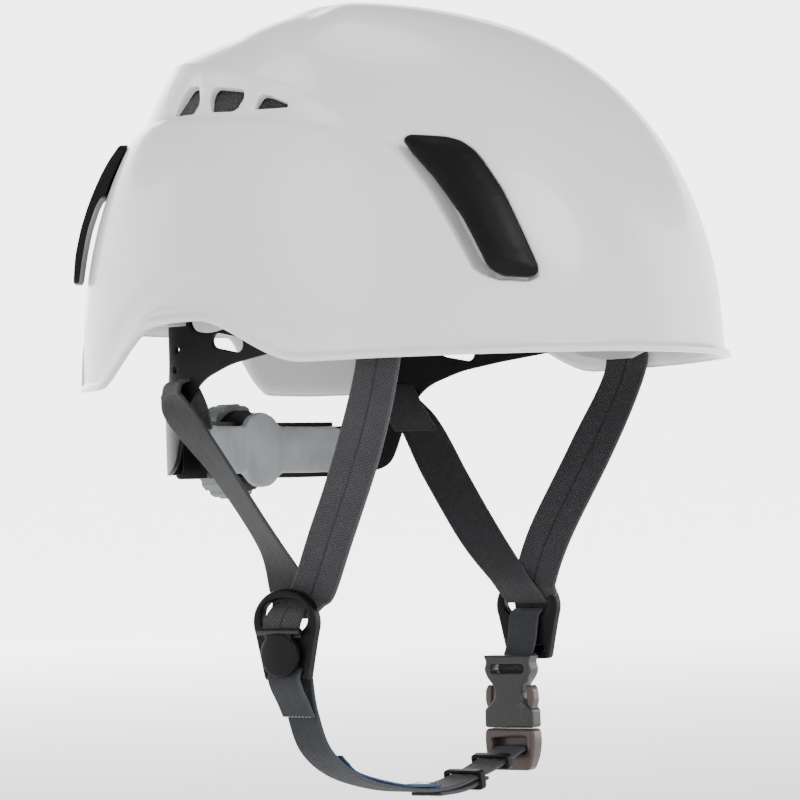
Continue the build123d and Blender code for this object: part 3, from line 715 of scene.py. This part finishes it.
print("ridge relief at the side:", round(relief(95, 107, 0), 2), "mm")

# %% [markdown]
# ## Shell mesh
# A sphere's rings and columns are laid on the surface formula: 16 rings from crown to ridge,
# a dense group across the ridge, then the rest down to the rim. The faces round each temple are
# divided first, so that the pocket's edge is crisp.
# %% Lay out the shell
RINGS = 73


def ring_height(row, bearing):
    b = abs(bearing)
    ridge, crease, low = table(RIDGE, b), table(CREASE, b), rim(bearing)
    top = ridge + 4.5
    if row <= 16:
        start = math.asin(top / 141.0)
        return 141.0 * math.sin(math.pi / 2 + (start - math.pi / 2) * row / 16)
    lips = [(16, top), (17, ridge + 1.6), (18, ridge + 0.4), (19, ridge - 0.6), (27, crease + 1.3),
            (28, crease + 0.7), (29, crease), (30, crease - 0.8), (67, low + 6), (68, low + 4.6),
            (69, low + 3.5), (70, low + 2.7), (71, low + 1.9), (72, low + 0.8), (73, low)]
    return table(lips, row)


def unwrap(co):
    bearing = math.degrees(math.atan2(co.x, -co.y))
    bearing += 5.0 * math.sin(math.radians(4 * bearing))
    row = math.degrees(math.acos(max(-1, min(1, co.normalized().z)))) / 90 * RINGS
    return bearing, row


shell_bm = bmesh.new()
bmesh.ops.create_uvsphere(shell_bm, u_segments=320, v_segments=2 * RINGS, radius=1)
bmesh.ops.bisect_plane(shell_bm, geom=shell_bm.verts[:] + shell_bm.edges[:] + shell_bm.faces[:],
                       plane_co=(0, 0, 0), plane_no=(0, 0, -1), clear_outer=True, dist=1e-4)
near_temple = []
for face in shell_bm.faces:
    bearing, row = unwrap(face.calc_center_median())
    x, y = temple(surface(bearing, ring_height(row, bearing)))
    if 18 < abs(bearing) < 70 and -39 < x < 25 and -32 < y < 37:
        near_temple += list(face.edges)
bmesh.ops.subdivide_edges(shell_bm, edges=list(set(near_temple)), cuts=2, use_grid_fill=True)
for v in shell_bm.verts:
    bearing, row = unwrap(v.co)
    height = ring_height(row, bearing)
    place = surface(bearing, height)
    out = relief(bearing, height, rim(bearing)) if height < 140.5 else 0.0
    x, y = temple(place)
    if 18 < abs(bearing) < 70:
        out -= pocket(x, y)
    v.co = (place + normal_at(bearing, height) * out) * MM
bmesh.ops.recalc_face_normals(shell_bm, faces=shell_bm.faces[:])
print("shell faces before thickness:", len(shell_bm.faces))

# %% [markdown]
# ## Shell thickness, rim edge and vents
# The wall is 3 mm inwards. The vents are cut by rounded prisms, then a narrow bevel rounds the
# rim and the cut edges.
# %% Finish the shell
shell = mesh_object("shell_surface", shell_bm, 60)
wall = shell.modifiers.new("wall", "SOLIDIFY")
wall.thickness = 3 * MM
wall.offset = -1
wall.use_even_offset = False
settle(shell, 60)


def vent_prism(loop, side):
    points = [surface(side * at, tall) for at, tall in loop]
    middle = sum(points, Vector()) / len(points)
    z = normal_at(side * sum(p[0] for p in loop) / len(loop), middle.z)
    x = Vector((0, 0, 1)).cross(z).normalized()
    y = z.cross(x)
    flat = [((p - middle).dot(x), (p - middle).dot(y)) for p in points]
    bm = plate_bmesh([rounded(flat, 1.9)], 26, 0.2, 1)
    turned = Matrix.Translation(middle) @ Matrix((x, y, z)).transposed().to_4x4()
    bmesh.ops.transform(bm, verts=bm.verts[:], matrix=turned)
    bmesh.ops.scale(bm, verts=bm.verts[:], vec=(MM, MM, MM))
    bmesh.ops.recalc_face_normals(bm, faces=bm.faces[:])
    return mesh_object("cutter", bm)


for side in (-1, 1):
    for loop in VENTS:
        cut = shell.modifiers.new("cut", "BOOLEAN")
        cut.object = vent_prism(loop, side)
        cut.solver = "EXACT"
settle(shell, 60)
for cutter in [o for o in bpy.data.objects if o.name.startswith("cutter")]:
    bpy.data.objects.remove(cutter)
edge = shell.modifiers.new("edge", "BEVEL")
edge.width = 0.55 * MM
edge.segments = 2
edge.limit_method = "ANGLE"
edge.angle_limit = math.radians(62)
settle(shell, 50)
finish(shell, "helmet", "shell", SHELL, "outer_shell")
print("shell triangles about", 2 * len(shell.data.polygons))

# %% [markdown]
# ## Headlamp clips
# Each front clip is a thin plate that follows the shell, lying over its pocket. Its outline is
# in the temple's flat coordinates, pushed on to the surface along the temple normal.
# %% Front clips
CLIP_OUTLINE = [(-25.6, 28.6), (-23.2, 30.1), (-9.3, 28.2), (-4.2, 26.3), (0, 22.5), (3, 17.9),
                (9.5, 5.6), (20.8, -24.2), (20.6, -26.9), (17.9, -28.3), (7.3, -27.7), (3, -24.9),
                (1.3, -22.6), (-6.2, -4.7), (-15.8, 12.4), (-22.7, 22.6)]


def on_shell_along(point, direction):
    depth = 12.0
    for _ in range(40):
        p = point + direction * depth
        height = min(p.z, 139)
        bearing = math.degrees(math.atan2(p.x, -p.y))
        gap = math.hypot(p.x, p.y) - math.hypot(*surface(bearing, height).xy)
        depth -= gap * 0.8
        if abs(gap) < 0.01:
            break
    return point + direction * depth


for word, side in SIDES:
    def put(x, y, z):
        base = on_shell_along(TEMPLE + TEMPLE_X * x + TEMPLE_Y * y, TEMPLE_Z)
        crown = 0.9 * step(0, 5, line_distance(CLIP_OUTLINE + CLIP_OUTLINE[:1], x, y))
        p = base + TEMPLE_Z * (z - 0.9 + (crown if z > 0 else 0))
        return (-side * p.x, p.y, p.z)
    clip = plate(f"temple_clip_{word}", [rounded(CLIP_OUTLINE, 2.2)], 2.6, 0.7, put, pitch=2.4,
                 resolution=3)
    finish(clip, "helmet", "black_plastic", CLIP, f"front_clip_{word}")
print("clip faces:", len(clip.data.polygons))

# %% [markdown]
# Each rear clip is a strip that hangs down the back of the shell with its free end standing
# clear of it; its side profile gives the outer and inner face at each height.
# %% Rear clips
OUTER = [(88.5, 4.2), (82, 5.4), (76, 5.9), (65, 6.4), (55, 6.6), (44, 6.4), (33, 5.4)]
INNER = [(88.5, 0.6), (79, 0.6), (69, 0.6), (66, 3.0), (55, 3.6), (33, 3.0)]
for word, side in SIDES:
    def put(x, y, z):
        face = table(sorted(OUTER), y) if z > 0 else table(sorted(INNER), y)
        middle = surface(142, y)
        outward = Vector((middle.x, middle.y, 0)).normalized()
        across = Vector((0, 0, 1)).cross(outward)
        crown = 0.7 * (x / 9) ** 2
        inwards = 1.2 - abs(z) if abs(z) < 1.2 else 0.0
        p = middle + outward * (face - crown - math.copysign(inwards, z)) + across * x
        return (side * p.x, p.y, p.z)
    outline = rounded([(-8.6, 88.3), (-9.4, 60), (-8.2, 33), (8.2, 33), (9.4, 60), (8.6, 88.3)], 3.5)
    clip = plate(f"nape_clip_{word}", [outline], 2.4, 0.6, put, pitch=2.4, resolution=3)
    finish(clip, "helmet", "black_plastic", CLIP, f"rear_clip_{word}")
print("rear clips placed")

# %% [markdown]
# ## Webbing
# A strap is a grid laid along smooth stations: each gives the centre, the direction across and
# the direction along. The UV map called run keeps true distances in metres for the weave, the
# selvage is slightly scalloped, and a thin solidify gives the thickness.
# %% Strap maker


def smooth_point(points, t):
    i = min(len(points) - 2, int(t))
    f = t - i
    p1, p2 = points[i], points[i + 1]
    p0 = points[i - 1] if i > 0 else p1 * 2 - p2
    p3 = points[i + 2] if i + 2 < len(points) else p2 * 2 - p1
    return 0.5 * (p1 * 2 + (p2 - p0) * f + (p0 * 2 - p1 * 5 + p2 * 4 - p3) * f * f
                  + (p1 * 3 - p0 - p2 * 3 + p3) * f ** 3)


def strap(name, stations, width, thick, pitch=0.75, scallop=0.16, hollow=0.1):
    centres = [Vector(s[0]) for s in stations]
    acrosses = [Vector(s[1]).normalized() for s in stations]
    samples = [smooth_point(centres, k / 12) for k in range(12 * (len(centres) - 1) + 1)]
    run = [0.0]
    for a, b in zip(samples, samples[1:]):
        run.append(run[-1] + (b - a).length)
    rows = max(8, int(run[-1] / pitch))
    lookup = [(r, k / 12) for k, r in enumerate(run)]
    bm = bmesh.new()
    bmesh.ops.create_grid(bm, x_segments=20, y_segments=rows, size=0.5)
    layer = bm.loops.layers.uv.new("run")
    flat = {}
    for v in bm.verts:
        u, distance = v.co.x, (v.co.y + 0.5) * run[-1]
        t = table(lookup, distance)
        centre = smooth_point(centres, t)
        across = smooth_point(acrosses, t).normalized()
        ahead_of = smooth_point(centres, min(t + 0.02, len(centres) - 1)) - smooth_point(
            centres, max(0, t - 0.02))
        out = across.cross(ahead_of).normalized()
        edge_wave = scallop * math.cos(distance * math.tau / 1.5) if abs(u) > 0.47 else 0.0
        spread_u = u * width + math.copysign(edge_wave, u)
        dip = -hollow * (1 - step(0.0, 0.05, abs(u))) + 0.12 * math.sin(distance * 0.13 + u * 2)
        flat[v.index] = (spread_u * MM, distance * MM)
        v.co = (centre + across * spread_u + out * dip) * MM
    bm.verts.ensure_lookup_table()
    for face in bm.faces:
        for loop in face.loops:
            loop[layer].uv = flat[loop.vert.index]
    obj = mesh_object(name, bm, 60)
    body = obj.modifiers.new("thickness", "SOLIDIFY")
    body.thickness = thick * MM
    body.offset = 0
    soften = obj.modifiers.new("selvage", "BEVEL")
    soften.width = thick * 0.42 * MM
    soften.segments = 3
    soften.limit_method = "ANGLE"
    soften.angle_limit = math.radians(50)
    return settle(obj, 60)


def level(*points):
    return [(p, (0, 1, 0)) for p in points]


def bend_with_rack(piece):
    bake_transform(piece)


FORWARD = {"right": 0, "left": 14}
print("strap maker ready")

# %% Head straps
for word, s in SIDES:
    a = FORWARD[word]
    front = [((s * 90, -57.5, 7), (0, 1, 0)), ((s * 90, -57, -9), (0, 1, 0)),
             ((s * 84, -42, -42), (0, 0.9, 0.38)), ((s * 76, -22 - a * 0.35, -74), (0, 0.9, 0.42)),
             ((s * 72.3, -11 - a * 0.7, -93), (0, 0.95, 0.3)), ((s * 73.2, -6 - a, -99), (0, 1, 0.1)),
             ((s * 76.6, -3 - a, -103.6), (0, 1, 0))]
    piece = strap(f"front_webbing_{word}", front, 20, 1.6)
    finish(piece, "helmet", "webbing", WEBBING, f"front_strap_{word}")
    upper, lower = (-s * 0.5, 0.87, 0), (-s * 0.2, 0.97, 0)
    rear = [((s * 77.9, 53, -15), upper), ((s * 81.5, 43.5, -26), lower),
            ((s * 76.6, 26.5, -50), (-s * 0.45, 0.87, 0)),
            ((s * 71.5, 10 - a * 0.3, -77), (-s * 0.4, 0.87, 0)),
            ((s * 69.8, 2.4 - a * 0.8, -94), (0, 1, 0)), ((s * 71.6, -a * 0.9, -100), (0, 1, 0)),
            ((s * 75.4, -a, -104.5), (0, 1, 0))]
    piece = strap(f"rear_webbing_{word}", rear, 20, 1.6)
    finish(piece, None, "webbing", WEBBING_SOFT, f"rear_strap_{word}")
    bend_with_rack(piece)
    wrap = [((s * 78.6, 52.6, -15.6), upper), ((s * 77.2, 52.2, -11), upper),
            ((s * 73.4, 50.6, -9.6), upper), ((s * 71.4, 48.2, -13), upper),
            ((s * 71.6, 44, -21), upper), ((s * 74.6, 40, -29.5), upper)]
    piece = strap(f"strap_loop_{word}", wrap, 18.5, 1.4)
    finish(piece, None, "webbing", WEBBING_SOFT)
    bend_with_rack(piece)
    over = level((s * 73.2, -a - 1, -99.5), (s * 77.4, -a - 0.6, -103), (s * 79.6, -a, -107.4),
                 (s * 79.2, -a, -112))
    piece = strap(f"divider_webbing_{word}", over, 17.5, 1.5)
    finish(piece, "helmet", "webbing", WEBBING)
print("head straps placed")

# %% [markdown]
# ## Chin webbing
# The grey strap runs from the right divider under the chin to the plug. A blue lining lies on
# it for half its length, and the free end is folded back below through two rubber keepers.
# %% Chin straps
CHIN_LINE = level((-71.7, 0, -113.5), (-71.7, -0.8, -128), (-71, -2.5, -142), (-66, -5, -157),
                  (-48, -6.5, -168.5), (-20, -8, -175.5), (10, -9, -177.5), (36, -9.5, -173.6),
                  (56, -10, -168.4), (66.5, -10, -165.6))
chin = strap("chin_webbing", CHIN_LINE, 15, 1.6)
finish(chin, None, "webbing", CHIN, "chin_strap")
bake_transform(chin)
raised = [(x + 0.3, y, z + 1.4) for (x, y, z), across in CHIN_LINE[4:6]]
lining_line = level((-59.2, -5.6, -159.2), (-55.8, -5.8, -162), *raised, (4, -9, -176))
lining = strap("chin_lining_webbing", lining_line, 13, 1.0)
finish(lining, "plug", "lining", LINING, "chin_lining")
tail_line = level((2, -9, -179.6), (20, -9.3, -179), (37, -9.5, -175.7))
tail = strap("folded_tail", tail_line, 15, 1.6)
finish(tail, "plug", "webbing", CHIN, "strap_tail")
fold_line = level((-73.6, 0, -122.6), (-77.2, 0, -124.6), (-79.4, -0.2, -127.6), (-78.2, -0.6, -132),
                  (-75.2, -1.2, -137.5), (-73.2, -2.2, -143))
fold = strap("chin_fold", fold_line, 15, 1.5)
finish(fold, "helmet", "webbing", CHIN)
loop_line = level((76.2, -14, -107.6), (72.8, -14, -109.6), (71.6, -13.8, -114), (70.9, -13.2, -121),
                  (68.6, -12, -127.6), (66.2, -11, -131.6), (68.4, -11, -134.6), (71.4, -11.4, -131.5),
                  (72.4, -12.4, -126))
loop = strap("buckle_webbing", loop_line, 14, 1.3)
finish(loop, "helmet", "webbing", CHIN, "buckle_strap")
print("chin straps placed")

# %% Stitch rows


def stitches(name, body, centre, across, along, normal, length, pitch=1.7):
    bm = bmesh.new()
    across, along, normal = (Vector(v).normalized() for v in (across, along, normal))
    turned = Matrix((across, along, normal)).transposed().to_4x4()
    count = int(length / pitch)
    for k in range(count):
        made = bmesh.ops.create_uvsphere(bm, u_segments=8, v_segments=6, radius=1)["verts"]
        bmesh.ops.scale(bm, verts=made, vec=(0.62, 0.2, 0.2))
        shift = (k - (count - 1) / 2) * pitch
        bmesh.ops.transform(bm, verts=made, matrix=Matrix.Translation(
            Vector(centre) + across * shift) @ turned)
    bmesh.ops.scale(bm, verts=bm.verts[:], vec=(MM, MM, MM))
    return finish(mesh_object(name, bm), body, "webbing", THREAD)


stitches("stitch_chin", "helmet", (-74.2, -2.0, -141.2), (0, 1, 0), (0.2, 0, -1), (-1, 0, -0.2), 14)
stitches("stitch_chin_low", "helmet", (-73.9, -2.1, -142.9), (0, 1, 0), (0.2, 0, -1),
         (-1, 0, -0.2), 14)
stitches("stitch_lining", "plug", (3.2, -9, -174.9), (0, 1, 0), (1, 0, 0), (0, 0, 1), 12)
print("stitches placed")

# %% [markdown]
# ## Cradle arms
# Each arm is a thin black plate cut to its outline, wrapped along the plan curve that runs from
# the temple back round the head to the nape housing.
# %% Side arms
PLAN = [Vector((-82.0, -46)), Vector((-82.4, -20)), Vector((-81.5, 10)), Vector((-79, 34)),
        Vector((-74, 54)), Vector((-62, 68)), Vector((-50, 74)), Vector((-44.4, 75.5))]
ARM = [(-48, 5), (-23, 1.0), (0, -1.5), (20, -4.5), (36, -10), (46, -20), (50, -34), (54, -44),
       (62, -47), (75.4, -46.5), (75.4, -26.5), (66, -26), (60, -16), (57, -4), (57, 10), (55, 24),
       (42, 24), (42, 10), (30, 8), (10, 12), (-20, 17), (-48, 18)]
plan_samples = [smooth_point(PLAN, k / 20) for k in range(20 * (len(PLAN) - 1) + 1)]
plan_run = [0.0]
for p, q in zip(plan_samples, plan_samples[1:]):
    plan_run.append(plan_run[-1] + (q - p).length)
RUN_AT_Y = [(p.y, r) for p, r in zip(plan_samples, plan_run)]
PARAM_AT_RUN = [(r, k / 20) for k, r in enumerate(plan_run)]


def run_at(y):
    return table(RUN_AT_Y, y) + min(0.0, y + 46)


for word, s in SIDES:
    def put(x, y, z):
        t = table(PARAM_AT_RUN, x)
        p = smooth_point(PLAN, t)
        q = smooth_point(PLAN, min(t + 0.05, len(PLAN) - 1)) - smooth_point(PLAN, max(0, t - 0.05))
        q.normalize()
        p = p + q * min(0.0, x)
        return (-s * (p.x - q.y * z), p.y + q.x * z, y)
    outer_loop = [(run_at(y), z) for y, z in ARM]
    holes = [slot_outline(run_at(21), 4, 17, 6, 12), oval(run_at(50), 3, 1.4, 1.4, 16),
             oval(run_at(52), -5, 1.4, 1.4, 16)]
    arm = plate(f"cradle_arm_{word}", [rounded(outer_loop, 5)] + holes, 1.8, 0.3, put, pitch=3.0)
    finish(arm, None, "black_plastic", BLACK, f"side_arm_{word}")
    arm.modifiers.clear()
    bend_with_rack(arm)
print("arm faces:", len(arm.data.polygons))

# %% [markdown]
# ## Dividers
# A black ring where the two head straps meet. The ring has a thick rounded rim round the
# window, a narrower foot with the slot for the chin strap, and a domed disc that clamps.
# %% Dividers and levers
for word, s in SIDES:
    a = FORWARD[word]

    def flat_put(x, y, z):
        return (s * (76 + z), x - a, y)

    crown_arc = [(15.2 * math.cos(math.radians(k)), -106 + 13 * math.sin(math.radians(k)))
                 for k in range(-20, 201, 11)]
    foot = [(-12.3, -119), (-11.2, -124), (-10.2, -128.6), (10.2, -128.6), (11.2, -124), (12.3, -119)]
    body_loop = rounded(crown_arc + foot, 1.6, 3)
    window = oval(0, -103.8, 11.4, 7.0, 40, 2.3)
    ring = plate(f"divider_ring_{word}", [body_loop, window, slot_outline(0, -124.4, 17, 3.2)],
                 5.2, 1.3, flat_put, resolution=4)
    finish(ring, "helmet", "black_plastic", CLIP, f"divider_{word}")

    def disc_put(x, y, z):
        reach = math.hypot(x, y)
        dome = 1.0 * (1 - (reach / 9) ** 2) if z > 0 else 0.0
        return (s * (80.9 + z + dome), x - a, y - 118.5)

    disc_loop = oval(0, 0, 8.8, 8.8, 48)
    neck = [(-6, 8.9), (-6.4, 5), (6.4, 5), (6, 8.9)]
    bm = plate_bmesh([disc_loop], 3.6, 1.1, 4, 1.6)
    arm_bm = plate_bmesh([rounded(neck, 1)], 3.2, 0.6, 3)
    for part in (bm, arm_bm):
        for v in part.verts:
            v.co = Vector(disc_put(*v.co)) * MM
        bmesh.ops.recalc_face_normals(part, faces=part.faces[:])
    temp = bpy.data.meshes.new("neck")
    arm_bm.to_mesh(temp)
    arm_bm.free()
    bm.from_mesh(temp)
    bpy.data.meshes.remove(temp)
    disc = mesh_object(f"clamp_disc_{word}", bm)
    finish(disc, f"lever_{word}", "black_plastic", BLACK, f"divider_lever_{word}")
print("dividers placed")

# %% [markdown]
# ## Side-release buckle
# The socket flares at the strap bar, narrows where the prongs show, and widens to its mouth.
# Its faces are a little crowned. The plug below has a window that the chin strap loops through.
# %% Buckle socket and plug
SOCKET = [(-12.3, -126.6), (-10.6, -129.2), (-11.9, -132.6), (-10.4, -136), (-7.6, -139),
          (-6.4, -142), (-7.2, -145.4), (-10.4, -148.2), (-12.0, -149.6), (-12.1, -157.2)]


def buckle_put(x, y, z):
    crown = 0.35 * (1 - min(1.0, (x / 12) ** 2))
    return (67 - z - math.copysign(crown, z), x - 10, y)


socket_loop = SOCKET + flip(SOCKET[::-1])
strap_bar_slot = slot_outline(0, -132.2, 17, 3.4)
socket = plate("socket_body", [rounded(socket_loop, 1.5, 4), strap_bar_slot], 7.4, 1.0, buckle_put,
               pitch=1.6, resolution=3)
finish(socket, "helmet", "buckle", BUCKLE, "buckle_socket")
PLUG_SIDE = [(-12.1, -157.5), (-12.5, -163), (-11.6, -170), (-9.6, -175.2)]


def plug_put(x, y, z):
    lean = 2.0 * step(-163, -176, y)
    thin = 1.0 - 0.25 * step(-166, -176, y)
    return (67 - z * thin - lean * 0.3, x - 10, y)


plug = plate("plug_body", [rounded(PLUG_SIDE + flip(PLUG_SIDE[::-1]), 2.0, 4),
                           rounded([(-8.6, -161.4), (-8.6, -168.2), (8.6, -168.2), (8.6, -161.4)], 1.6)],
             7.6, 1.3, plug_put, pitch=2.0, resolution=3)
finish(plug, "plug", "prong", PRONG, "buckle_plug")
plug_back = plate("plug_back", [rounded([(-9, -161), (-9, -168.6), (9, -168.6), (9, -161)], 1.2)],
                  1.4, 0.3, lambda x, y, z: (69.9 - z, x - 10, y))
finish(plug_back, "plug", "prong", PRONG)
for word, s in (("front", -1), ("rear", 1)):
    prong_loop = [(s * 8.2, -139.6), (s * 10.6, -139.0), (s * 12.0, -141.4), (s * 12.2, -145.6),
                  (s * 11.2, -149.2), (s * 9.6, -152), (s * 9.4, -156.6), (s * 7.2, -156.6),
                  (s * 7.4, -151), (s * 8.8, -147.6), (s * 8.9, -143)]
    prong = plate(f"squeeze_prong_{word}", [rounded(prong_loop, 0.9, 4)], 5.4, 0.9, buckle_put,
                  resolution=3)
    finish(prong, f"prong_{word}", "prong", PRONG, f"buckle_prong_{word}")
print("buckle placed")

# %% Strap keepers
for word, centre, along, gap in (("upper", (50, -9.9, -170.0), (1, 0, 0.26), 1.5),
                                 ("lower", (30, -9.4, -176.0), (1, 0, 0.17), 2.5)):
    n = Vector(along).normalized()
    u = Vector((0, 1, 0))
    w = n.cross(u)

    def band_put(x, y, z):
        return Vector(centre) + u * x + w * y + n * z

    outer = rounded([(-9.4, -gap - 1.6), (9.4, -gap - 1.6), (9.4, gap + 1.6), (-9.4, gap + 1.6)], 2.0)
    inner = rounded([(-8, -gap), (8, -gap), (8, gap), (-8, gap)], 0.8)
    band = plate(f"keeper_band_{word}", [outer, inner], 3.8, 0.65, band_put, resolution=3)
    finish(band, f"keeper_{word}", "rubber", RUBBER, f"strap_keeper_{word}")
print("keepers placed")

# %% [markdown]
# ## Pads
# Each pad starts from its solid's shape, a little thinner, remeshed finely. A cloth simulation
# with inner pressure swells it, and no point may move further than the cap.
# %% Swell the pads


def swell(node, name, body, voxel, shrink, cap, pressure):
    source = frame["nodes"][node]
    bm = bmesh.new()
    bm.from_mesh(source.data)
    obj = mesh_object(name, bm)
    remesh = obj.modifiers.new("remesh", "REMESH")
    remesh.mode = "VOXEL"
    remesh.voxel_size = voxel * MM
    settle(obj, 180)
    obj.data.update()
    starts = [v.co - v.normal * shrink * MM for v in obj.data.vertices]
    for v, co in zip(obj.data.vertices, starts):
        v.co = co
    cloth = obj.modifiers.new("cloth", "CLOTH")
    cloth.settings.use_pressure = True
    cloth.settings.uniform_pressure_force = pressure
    cloth.settings.effector_weights.gravity = 0
    cloth.settings.mass = 0.25
    for k in range(1, 21):
        bpy.context.scene.frame_set(k)
    settle(obj, 180)
    for v, co in zip(obj.data.vertices, starts):
        moved = v.co - co
        if moved.length > cap * MM:
            v.co = co + moved.normalized() * cap * MM
    bpy.context.scene.frame_set(1)
    smooth = obj.modifiers.new("even", "SMOOTH")
    smooth.factor = 0.4
    smooth.iterations = 4
    finer = obj.modifiers.new("finer", "SUBSURF")
    finer.levels = finer.render_levels = 1
    settle(obj, 180)
    finish(obj, body, "pad", PAD, node)
    return obj


nape_cushion = swell("nape_pad", "nape_cushion", "nape", 1.3, 0.5, 1.1, 3.0)
brow_cushion = swell("brow_pad", "brow_cushion", "helmet", 1.6, 0.6, 1.3, 3.0)
crown_cushion = swell("crown_pad", "crown_cushion", "helmet", 2.0, 0.7, 1.5, 3.0)
print("pads:", [len(o.data.polygons) for o in (nape_cushion, brow_cushion, crown_cushion)])

# %% [markdown]
# ## Pieces kept from the CAD model
# Their shapes are right as they are, so each only gets a material with the finish of the part.
# %% Materials on the kept nodes
PAIRED = {"vent_mesh": MESH, "front_anchor": ANCHOR, "rear_hanger": ANCHOR,
          "divider_pin": STEEL_DARK, "rack": RACK}
KEPT = {f"{node}_{word}": material for node, material in PAIRED.items() for word, s in SIDES}
KEPT.update({"foam_liner": FOAM, "headband": BLACK, "arm_rivets": RACK, "nape_housing": BLACK,
             "nape_cover": BLACK, "detent_pawl": RACK, "cover_screws": STEEL,
             "adjuster_wheel": CLIP, "wheel_grip": GRIP, "wheel_pinion": RACK,
             "wheel_screw": STEEL})
for node, material in KEPT.items():
    target = frame["nodes"][node]
    while len(target.material_slots) < 1:
        target.data.materials.append(material)
    for holder in target.material_slots:
        holder.link = "OBJECT"
        holder.material = material
shown = [n for n, o in frame["nodes"].items() if not o.hide_render]
print("kept nodes:", len(shown), "without a material:", sorted(set(shown) - set(KEPT)))
